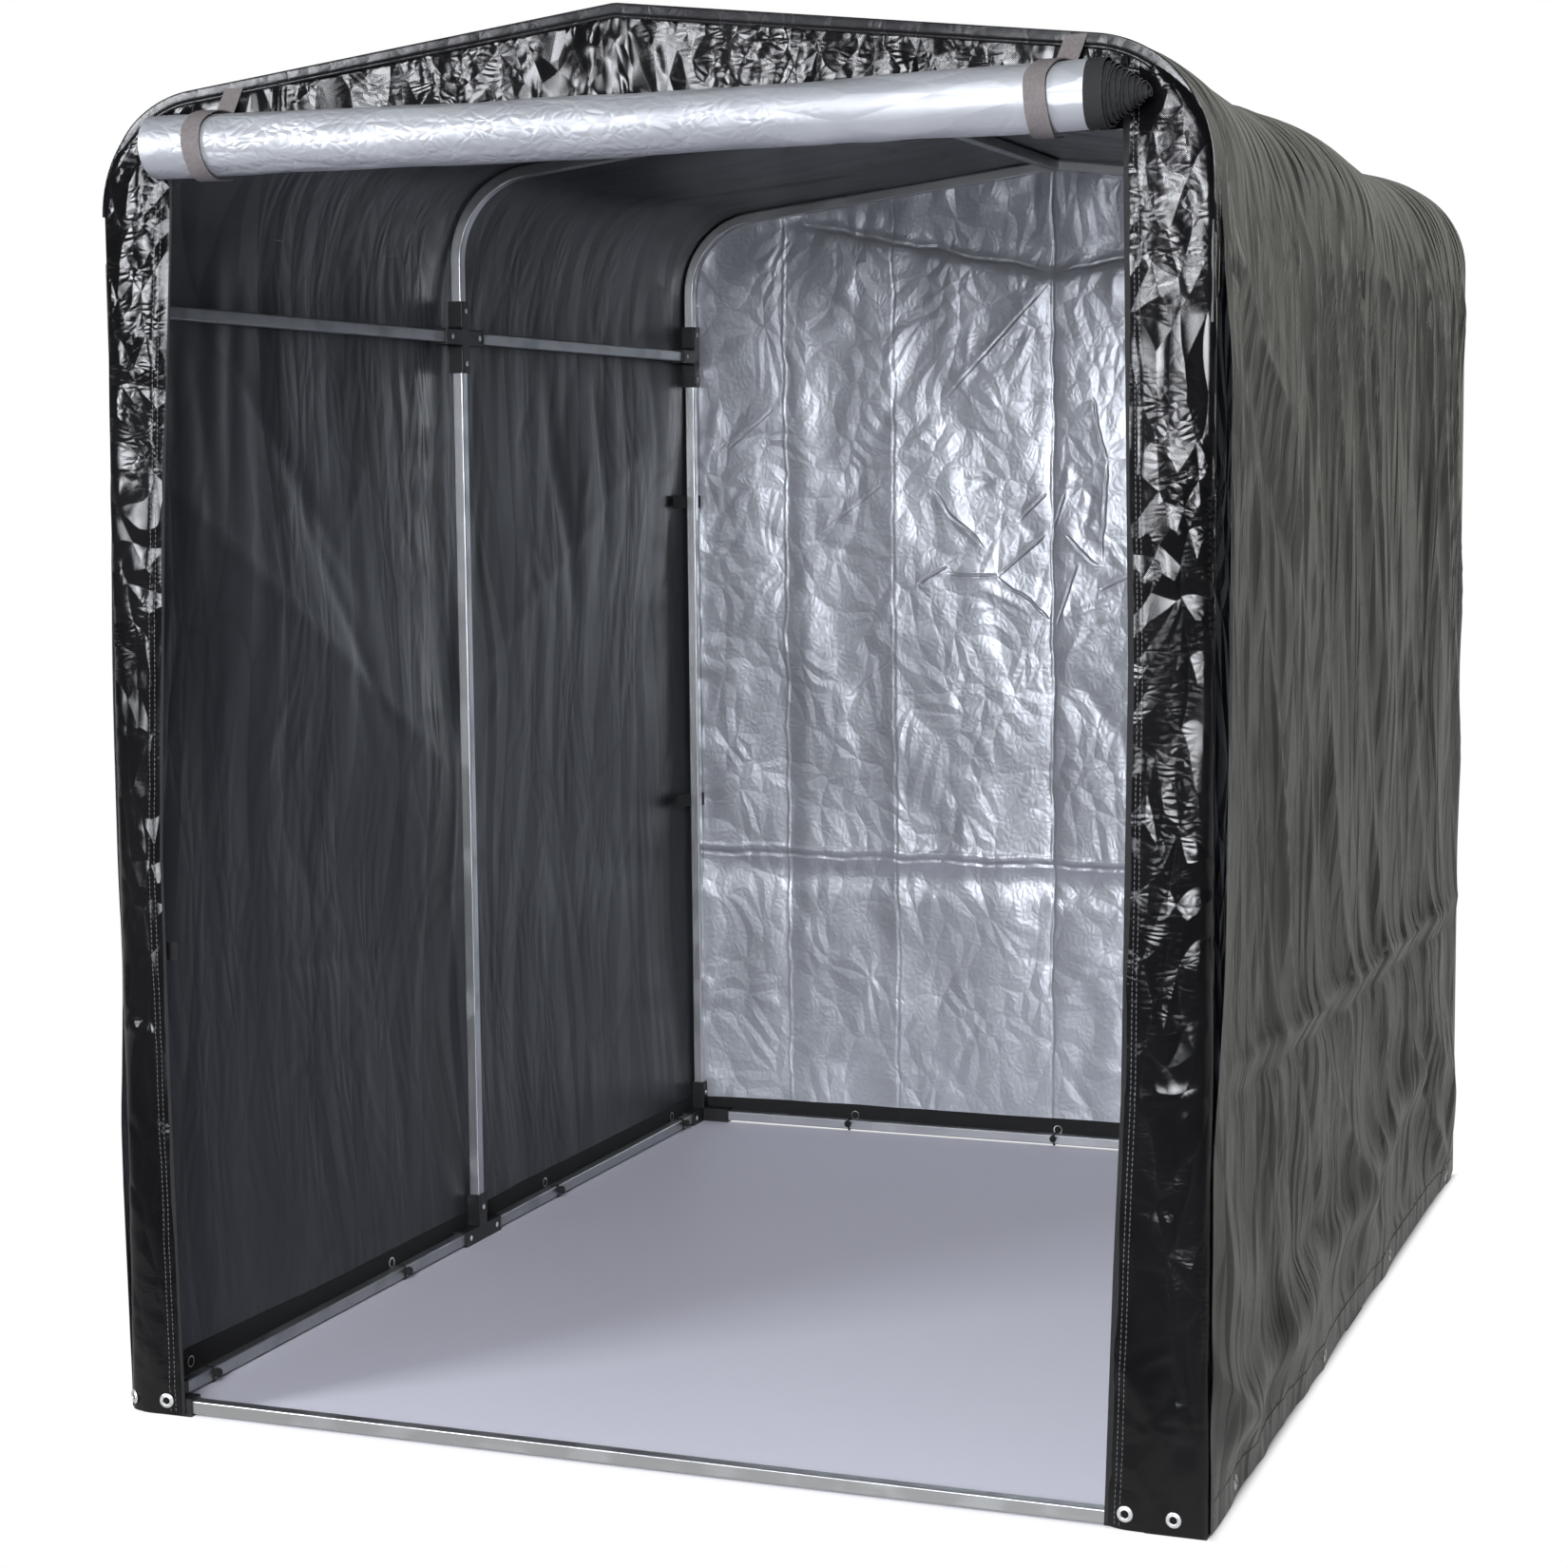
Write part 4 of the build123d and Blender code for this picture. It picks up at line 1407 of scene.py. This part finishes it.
class Repeats(Nodes):
    """A Geometry Nodes tree that sets one small shape at every point of a set."""

    def __init__(self, name: str, shape: Shape, sizes: dict[str, float], material: Material) -> None:
        """Build the tree.

        Args:
            name: of the tree.
            shape: what stands at each point.
            sizes: its named sizes.
            material: its material.
        """
        super().__init__(bpy.data.node_groups.new(name, "GeometryNodeTree"))
        self.sizes = sizes
        face = self.tree.interface
        face.new_socket("Points", in_out="INPUT", socket_type="NodeSocketGeometry")
        self.keys = {
            size: face.new_socket(size, in_out="INPUT", socket_type="NodeSocketFloat").identifier
            for size in sizes
        }
        face.new_socket("Geometry", in_out="OUTPUT", socket_type="NodeSocketGeometry")
        entry = self.tree.nodes.new("NodeGroupInput")
        self.entry = {socket.name: Flow(self, socket) for socket in entry.outputs if socket.name}
        part = getattr(self, shape.value)()
        aim = self.node("GeometryNodeInputNamedAttribute", {"data_type": "FLOAT_VECTOR"}, {"Name": "aim"})
        over = self.node("GeometryNodeInputNamedAttribute", {"data_type": "FLOAT_VECTOR"}, {"Name": "over"})
        facing = self.node("FunctionNodeAlignRotationToVector", {"axis": "Z"}, {"Vector": aim})
        turned = self.node("FunctionNodeAlignRotationToVector", {"axis": "X", "pivot_axis": "Z"},
                           {"Rotation": facing, "Vector": over})
        vary = self.node("FunctionNodeRandomValue", {"data_type": "FLOAT"}, {2: 0.98, 3: 1.02, 8: 7}, out=1)
        placed = self.node("GeometryNodeInstanceOnPoints", {}, {
            "Points": self.entry["Points"], "Instance": part, "Rotation": turned, "Scale": vary,
        })
        real = self.node("GeometryNodeRealizeInstances", {}, {0: placed})
        dressed = self.node("GeometryNodeSetMaterial", {}, {"Geometry": real, "Material": material})
        exit_node = self.tree.nodes.new("NodeGroupOutput")
        self.tree.links.new(dressed.socket, exit_node.inputs[0])

    def scaled(self, geometry: Flow, scale: tuple, move: tuple = (0.0, 0.0, 0.0)) -> Flow:
        """Scale and shift a part; each number may be a flow."""
        size = self.node("ShaderNodeCombineXYZ", {}, dict(enumerate(scale)))
        shift = self.node("ShaderNodeCombineXYZ", {}, dict(enumerate(move)))
        values = {"Geometry": geometry, "Scale": size, "Translation": shift}
        return self.node("GeometryNodeTransform", {}, values)

    def joined(self, *parts: Flow) -> Flow:
        """Join parts into one."""
        join = self.tree.nodes.new("GeometryNodeJoinGeometry")
        for part in parts:
            self.tree.links.new(part.socket, join.inputs[0])
        return Flow(self, join.outputs[0])

    def wire(self, path: Flow, thick: object) -> Flow:
        """Make a round wire along a path."""
        section = self.node("GeometryNodeCurvePrimitiveCircle", {}, {"Resolution": 8, "Radius": thick})
        return self.node("GeometryNodeCurveToMesh", {}, {"Curve": path, "Profile Curve": section})

    def ring(self, radius: object, thick: object, steps: int) -> Flow:
        """Bend a round wire into a ring."""
        circle = {"Resolution": steps, "Radius": radius}
        return self.wire(self.node("GeometryNodeCurvePrimitiveCircle", {}, circle), thick)

    def ball(self, segments: int, rings: int) -> Flow:
        """Make a ball of radius 1."""
        values = {"Segments": segments, "Rings": rings, "Radius": 1.0}
        return self.node("GeometryNodeMeshUVSphere", {}, values)

    def stitch(self) -> Flow:
        """Make one stitch, pulled down at both ends."""
        thick = self.entry["Thread"]
        return self.scaled(self.ball(6, 4), (thick, thick * 0.8, self.entry["Length"] * 0.5))

    def eyelet(self) -> Flow:
        """Make a rolled eyelet: a flat ring with a raised lip round its hole."""
        ring, wire = self.entry["Ring"], self.entry["Wire"]
        flange = self.scaled(self.ring(ring, wire, 24), (1.0, 1.0, 0.45))
        lip = self.ring(ring - wire * 0.62, wire * 0.4, 24)
        return self.joined(flange, self.scaled(lip, EVEN, (0.0, 0.0, wire * 0.35)))

    def screw(self) -> Flow:
        """Make a pan head with a washer and a cross recess."""
        head = self.entry["Head"]
        dome = self.scaled(self.ball(14, 8), (head, head, head * 0.45))
        washer = self.scaled(self.ring(head * 1.1, head * 0.2, 16), (1.0, 1.0, 0.6))
        bar = self.node("GeometryNodeMeshCube", {}, {"Size": (1.0, 1.0, 1.0)})
        slots = [self.scaled(bar, (head * wide, head * tall, head * 0.1), (0.0, 0.0, head * 0.44))
                 for wide, tall in ((1.1, 0.22), (0.22, 1.1))]
        return self.joined(dome, washer, *slots)

    def loop(self) -> Flow:
        """Make an elastic loop round a square rail, with its ball on the room side."""
        half, wire = self.entry["Half"], self.entry["Wire"]
        square = self.node("GeometryNodeCurvePrimitiveQuadrilateral", {}, {0: half * 2.0, 1: half * 2.0})
        rounded = self.node(
            "GeometryNodeFilletCurve", {"mode": "POLY"}, {"Curve": square, "Count": 5, "Radius": wire * 2.0}
        )
        cord = self.wire(rounded, wire)
        size = wire * 5.0
        ball = self.scaled(self.ball(14, 10), (size, size, size * 0.9), (half * 0.3, half + size * 0.9, 0.0))
        collar = self.scaled(self.ring(wire * 1.6, wire * 0.9, 12), EVEN, (half * 0.3, half + wire, 0.0))
        return self.joined(cord, ball, collar)

    def place(self, name: str, points: object, aims: object, overs: object = UPWARD) -> None:
        """Set the shape at every point and make the result a plain piece.

        Args:
            name: the piece's name.
            points: where each shape stands.
            aims: direction of each shape's own z axis.
            overs: direction of each shape's own x axis, or one for all.
        """
        cloud = bpy.data.meshes.new(f"{name}_points")
        cloud.from_pydata([tuple(p) for p in points], [], [])
        for key, values in (("aim", aims), ("over", overs)):
            rows = np.broadcast_to(np.array(values, np.float32), (len(points), 3))
            cloud.attributes.new(key, "FLOAT_VECTOR", "POINT").data.foreach_set("vector", rows.ravel())
        holder = link(f"{name}_points", cloud)
        modifier = holder.modifiers.new("repeats", "NODES")
        modifier.node_group = self.tree
        for size, value in self.sizes.items():
            modifier[self.keys[size]] = value
        graph = bpy.context.evaluated_depsgraph_get()
        mesh = bpy.data.meshes.new_from_object(holder.evaluated_get(graph))
        holder.modifiers.clear()
        bpy.data.objects.remove(holder)
        mesh.name = name
        mesh.polygons.foreach_set("use_smooth", np.ones(len(mesh.polygons), bool))
        made = link(name, mesh)
        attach(made, BODY)
        LOG.info("%d of %s", len(points), name)


@dataclass
class Trim:
    """Bindings, piping, stitching, eyelets, ties and screws."""

    layout: Layout
    cover: Cover
    finishes: Finishes
    binding_width: float = 0.010
    binding_thickness: float = 0.0026
    stitch_pitch: float = 0.0072
    piping_radius: float = 0.0028
    roof_fold: Pair = (0.0150, 0.0050)
    screw_arms: tuple[Pair, ...] = ((0.0, 0.046), (0.0, -0.046), (0.052, 0.0), (-0.052, 0.0))
    base_face: float = 0.00375
    eyelet_z: float = 0.028
    hem_ties_y: tuple[float, ...] = (-0.8735, -0.2535, 0.3665, 0.9865)
    hem_ties_x: tuple[float, ...] = (-0.45, 0.0, 0.45)
    strip_eyelets: dict[Side, Pair] = field(
        default_factory=lambda: {Side.LEFT: (0.762, 0.815), Side.RIGHT: (0.704, 0.766)})

    def build(self) -> None:
        """Make every small piece."""
        self.strip_edges()
        self.roof_edge()
        self.stitching()
        self.eyelets()
        self.hem_ties()
        self.screws()

    def inner_column(self, side: Side, steps: int) -> tuple[Array, Array]:
        """Give the points and normals of a column of a strip, counted from the doorway."""
        grid = self.cover.grids[f"front_{side.word}_strip"]
        index = steps if side is Side.LEFT else -1 - steps
        return grid[:, index], grid_normals(grid)[:, index]

    def strip_edges(self) -> None:
        """Bind the strips' edges along the doorway."""
        for side in Side:
            path, _ = self.inner_column(side, 0)
            path = path[path[:, 2] < self.layout.roll_z - 0.01]
            out = np.tile(FORWARD, (len(path), 1))
            across = np.tile([float(side.value), 0.0, 0.0], (len(path), 1))
            centre = path + across * (self.binding_width / 2 - 0.001)
            made = band_object(f"front_{side.word}_strip_binding", centre, across, out,
                               (self.binding_width, self.binding_thickness), self.finishes.binding)
            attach(made, BODY)

    def roof_edge(self) -> None:
        """Turn the roof's front edge down over the gable, with a piping cord along the seam."""
        lay, t = self.layout, self.cover.tunnel
        s = np.linspace(t.wall - 0.02, t.total - t.wall + 0.02, 260)
        x, z, nx, nz = t.at(s)
        out = np.tile(FORWARD, (len(s), 1))
        normal = np.stack([nx, np.zeros_like(nx), nz], -1)
        dive = 1 - smoothstep(np.minimum(s, t.total - s), t.wall - 0.01, t.wall + 0.16)
        line = np.stack([x, lay.front - 0.0045 + 0.014 * dive, z], -1) - normal * 0.004 * dive[:, None]
        black = self.finishes.fold_black
        fold = band_object("roof_front_fold", line - normal * 0.0065, normal, out, self.roof_fold, black)
        seam = line - normal * 0.0165 + out * 0.001
        piping = tube_object("roof_front_piping", seam, self.piping_radius, black)
        for made in (fold, piping):
            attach(made, BODY)

    def sewn(self, path: Array, out: Array) -> tuple[Array, Array, Array]:
        """Share stitches along a line: their places, directions and the sheet's normals."""
        run = np.concatenate([[0.0], np.cumsum(np.linalg.norm(np.diff(path, axis=0), axis=1))])
        at = np.arange(self.stitch_pitch, run[-1] - self.stitch_pitch, self.stitch_pitch)
        spots = np.stack([np.interp(at, run, path[:, k]) for k in range(3)], -1)
        normals = np.stack([np.interp(at, run, out[:, k]) for k in range(3)], -1)
        heading = np.gradient(spots, axis=0)
        heading /= np.linalg.norm(heading, axis=1, keepdims=True)
        return spots + normals * 0.0006, heading, normals

    def stitching(self) -> None:
        """Sew the strips' bindings and the hems."""
        rows = [self.sewn(*self.inner_column(side, steps)) for side in Side for steps in (2, 3)]
        for node, index in (("cover_left_wall", 3), ("cover_right_wall", -5), ("cover_rear_wall", 4)):
            grid = self.cover.grids[node]
            rows.append(self.sewn(grid[index], grid_normals(grid)[index]))
        spots, heading, normals = (np.concatenate(part) for part in zip(*rows))
        tree = Repeats("stitching", Shape.STITCH, {"Thread": 0.0007, "Length": 0.0056}, self.finishes.thread)
        tree.place("cover_stitching", spots, heading, normals)

    def nearest(self, node: str, place: tuple[float, float, float]) -> tuple[Array, Array]:
        """Give the point and normal of a panel nearest to a place."""
        grid = self.cover.grids[node]
        index = np.unravel_index(np.argmin(((grid - np.array(place)) ** 2).sum(-1)), grid.shape[:2])
        return grid[index], grid_normals(grid)[index]

    def eyelets(self) -> None:
        """Set eyelets along the hems."""
        lay = self.layout
        found = []
        for side in Side:
            strip, corner = f"front_{side.word}_strip", side.value * lay.wall_x
            for reach in self.strip_eyelets[side]:
                found.append(self.nearest(strip, (side.value * reach, lay.strip_y, 0.024)))
            found.append(self.nearest(strip, (corner, lay.front + 0.022, 0.030)))
            for y in self.hem_ties_y:
                found.append(self.nearest(f"cover_{side.word}_wall", (corner, y, self.eyelet_z)))
        for x in self.hem_ties_x:
            found.append(self.nearest("cover_rear_wall", (x, lay.rear_y, self.eyelet_z)))
        spots = [spot + normal * 0.0008 for spot, normal in found]
        tree = Repeats("eyelets", Shape.EYELET, {"Ring": 0.0082, "Wire": 0.0029}, self.finishes.nickel)
        tree.place("hem_eyelets", spots, [normal for _, normal in found])

    def hem_ties(self) -> None:
        """Loop elastic ties round the base rails, one at each eyelet."""
        lay = self.layout
        spots, aims = [], []
        for side in Side:
            for y in self.hem_ties_y:
                spots.append((side.value * lay.leg_x, y, lay.rail_z))
                aims.append((0.0, -float(side.value), 0.0))
            spots.append((side.value * self.strip_eyelets[side][0], lay.hoops[0], lay.rail_z))
            aims.append((-1.0, 0.0, 0.0))
        for x in self.hem_ties_x:
            spots.append((x, lay.hoops[2], lay.rail_z))
            aims.append((1.0, 0.0, 0.0))
        tree = Repeats("hem_ties", Shape.LOOP, {"Half": 0.0115, "Wire": 0.0015}, self.finishes.elastic)
        tree.place("hem_ties", spots, aims)

    def screws(self) -> None:
        """Screw every fitting's arms from the room side."""
        lay = self.layout
        spots, aims = [], []
        for hoop, y in zip(HOOPS, lay.hoops):
            for side in Side:
                for kind, height in (("side", lay.purlin_z), ("base", lay.rail_z)):
                    low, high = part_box(f"{hoop}_{side.word}_{kind}_fitting")
                    face = low.x if side is Side.RIGHT else high.x
                    if kind == "base":
                        face = side.value * (lay.leg_x - lay.tube / 2 - self.base_face)
                    for dy, dz in self.screw_arms:
                        if low.y < y + dy < high.y and low.z < height + dz < high.z:
                            spots.append((face, y + dy, height + dz))
                            aims.append((-float(side.value), 0.0, 0.0))
        tree = Repeats("screws", Shape.SCREW, {"Head": 0.0038}, self.finishes.nickel)
        tree.place("fitting_screws", spots, aims)


@dataclass(frozen=True)
class Softbox:
    """One lamp: its centre, the point it faces, width and height, watts and colour."""

    name: str
    place: Triple
    aim: Triple
    size: Pair
    power: float
    tint: Colour = (0.93, 0.955, 1.0)

    def hang(self) -> None:
        """Put the lamp in the scene."""
        data = bpy.data.lights.new(self.name, "AREA")
        data.shape = "RECTANGLE"
        data.size, data.size_y = self.size
        data.energy = self.power
        data.color = self.tint
        lamp = link(self.name, data)
        lamp.location = self.place
        facing = Vector(self.aim) - Vector(self.place)
        lamp.rotation_euler = facing.to_track_quat("-Z", "Y").to_euler()


class Studio:
    """Floor, light and camera."""

    eye = Vector((1.6437, -4.7077, 1.3866))
    yaw = math.radians(21.047)
    pitch = math.radians(5.969)
    roll = math.radians(-0.554)
    focal_px = 3114.36
    frame_px = 1650.0
    sensor = 36.0
    floor_half = 30.0
    floor_tones = ((0.72, 0.71, 0.805), (0.75, 0.74, 0.83))
    # Grey glow of the floor outside the shelter, in front and beside it, seen only in reflections: painted
    # reflection.
    beside_tones = ((0.09, 0.09, 0.093), (0.42, 0.42, 0.41))
    world_tones = ((0.04, 0.04, 0.042), (0.48, 0.49, 0.445))
    lamps = (
        Softbox("key", (0.7, -5.2, 1.9), (-0.1, 0.6, 1.0), (1.5, 1.4), 190.0),
        Softbox("high", (0.9, -4.4, 3.7), (-0.2, -0.8, 1.2), (1.4, 0.9), 90.0),
        Softbox("left", (-3.4, -4.4, 2.6), (-0.4, -1.0, 1.4), (1.4, 1.8), 175.0),
        Softbox("behind", (5.6, 4.4, 3.0), (0.8, 0.0, 1.0), (1.4, 2.6), 45.0, (1.0, 0.985, 0.93)),
    )
    bounces = (3, 2, 2)  # in all, diffuse and glossy: more change nothing that shows

    def build(self) -> None:
        """Set the whole stage."""
        self.camera()
        self.floor()
        for lamp in self.lamps:
            lamp.hang()
        self.world()
        scene = bpy.context.scene
        scene.view_settings.view_transform = "Standard"
        scene.cycles.max_bounces, scene.cycles.diffuse_bounces, scene.cycles.glossy_bounces = self.bounces

    def camera(self) -> None:
        """Stand the camera where the photograph was taken."""
        level = math.cos(self.pitch)
        ahead = Vector((-math.sin(self.yaw) * level, math.cos(self.yaw) * level, -math.sin(self.pitch)))
        right = Vector((math.cos(self.yaw), math.sin(self.yaw), 0.0))
        up = right.cross(ahead)
        turned_right = right * math.cos(self.roll) + up * math.sin(self.roll)
        turned_up = -right * math.sin(self.roll) + up * math.cos(self.roll)
        data = bpy.data.cameras.new("camera")
        data.sensor_width = self.sensor
        data.lens = self.focal_px / self.frame_px * self.sensor
        camera = link("camera", data)
        axes = Matrix((turned_right, turned_up, -ahead)).transposed().to_4x4()
        camera.matrix_world = Matrix.Translation(self.eye) @ axes
        bpy.context.scene.camera = camera

    def floor(self) -> None:
        """Lay a pale floor that is plain white outside the shelter to the camera; there it glows grey in
        reflections, darker in front: a painted reflection.
        """
        mesh = bpy.data.meshes.new("floor")
        corners = ((-1, -1), (1, -1), (1, 1), (-1, 1))
        points = [(x * self.floor_half, y * self.floor_half, 0) for x, y in corners]
        mesh.from_pydata(points, [], [(0, 1, 2, 3)])
        floor = link("floor", mesh)
        paint = Paint("floor_pale")
        high = CAD_BOX[1]
        outside = (paint.axis(0).size() - high[0]).higher((paint.axis(1) - 0.04).size() - high[1] + 0.06)
        seen = paint.node("ShaderNodeLightPath", out="Is Camera Ray")
        white = paint.node("ShaderNodeEmission", {}, {"Color": EVEN, "Strength": 1.0})
        plain = Flow(paint, paint.surface.outputs[0])
        # Outside the shelter the floor glows in glossy rays only, dark in front and grey beside the shelter:
        # a painted reflection.
        mirrored = paint.node("ShaderNodeLightPath", out="Is Glossy Ray")
        glow_tone = paint.blend(paint.axis(1).over(-1.9, -1.1), *self.beside_tones)
        reflection_glow = paint.node("ShaderNodeEmission", {}, {"Color": glow_tone, "Strength": 1.0})
        beyond = outside.over(-0.01, 0.015)
        plain = paint.node("ShaderNodeMixShader", {}, {0: beyond * mirrored, 1: plain, 2: reflection_glow})
        mixed = paint.node("ShaderNodeMixShader", {}, {0: beyond * seen, 1: plain, 2: white})
        paint.tree.links.new(mixed.socket, paint.output.inputs[0])
        clouds = paint.noise(3.0)
        paint.done(Base_Color=paint.blend(clouds, *self.floor_tones), Roughness=0.5)
        mesh.materials.append(paint.material)

    def world(self) -> None:
        """Wrap the stage in white behind and dark grey in front."""
        world = bpy.data.worlds.new("studio")
        world.use_nodes = True
        bpy.context.scene.world = world
        wrap = Nodes(world.node_tree)
        place = wrap.node("ShaderNodeTexCoord", out="Generated")
        behind = wrap.node("ShaderNodeSeparateXYZ", {}, {0: place}, out=1)
        tone = wrap.blend(behind.over(0.82, 1.0), *self.world_tones)
        lit = wrap.node("ShaderNodeBackground", {}, {"Color": tone, "Strength": 1.0})
        white = wrap.node("ShaderNodeBackground", {}, {"Color": EVEN, "Strength": 1.0})
        seen = wrap.node("ShaderNodeLightPath", out="Is Camera Ray")
        mixed = wrap.node("ShaderNodeMixShader", {}, {0: seen, 1: lit, 2: white})
        output = wrap.tree.nodes.new("ShaderNodeOutputWorld")
        wrap.tree.links.new(mixed.socket, output.inputs[0])


def main() -> None:
    """Build the shelter's pieces in order."""
    logging.basicConfig(level=logging.INFO, format="%(message)s")
    finishes = Finishes()
    layout = Layout()
    TubeFrame(finishes).dress()
    cover = Cover(layout, finishes)
    cover.build()
    DoorRoll(layout, finishes).build()
    Straps(layout, finishes).build()
    Trim(layout, cover, finishes).build()
    Studio().build()


if __name__ == "__main__":
    main()
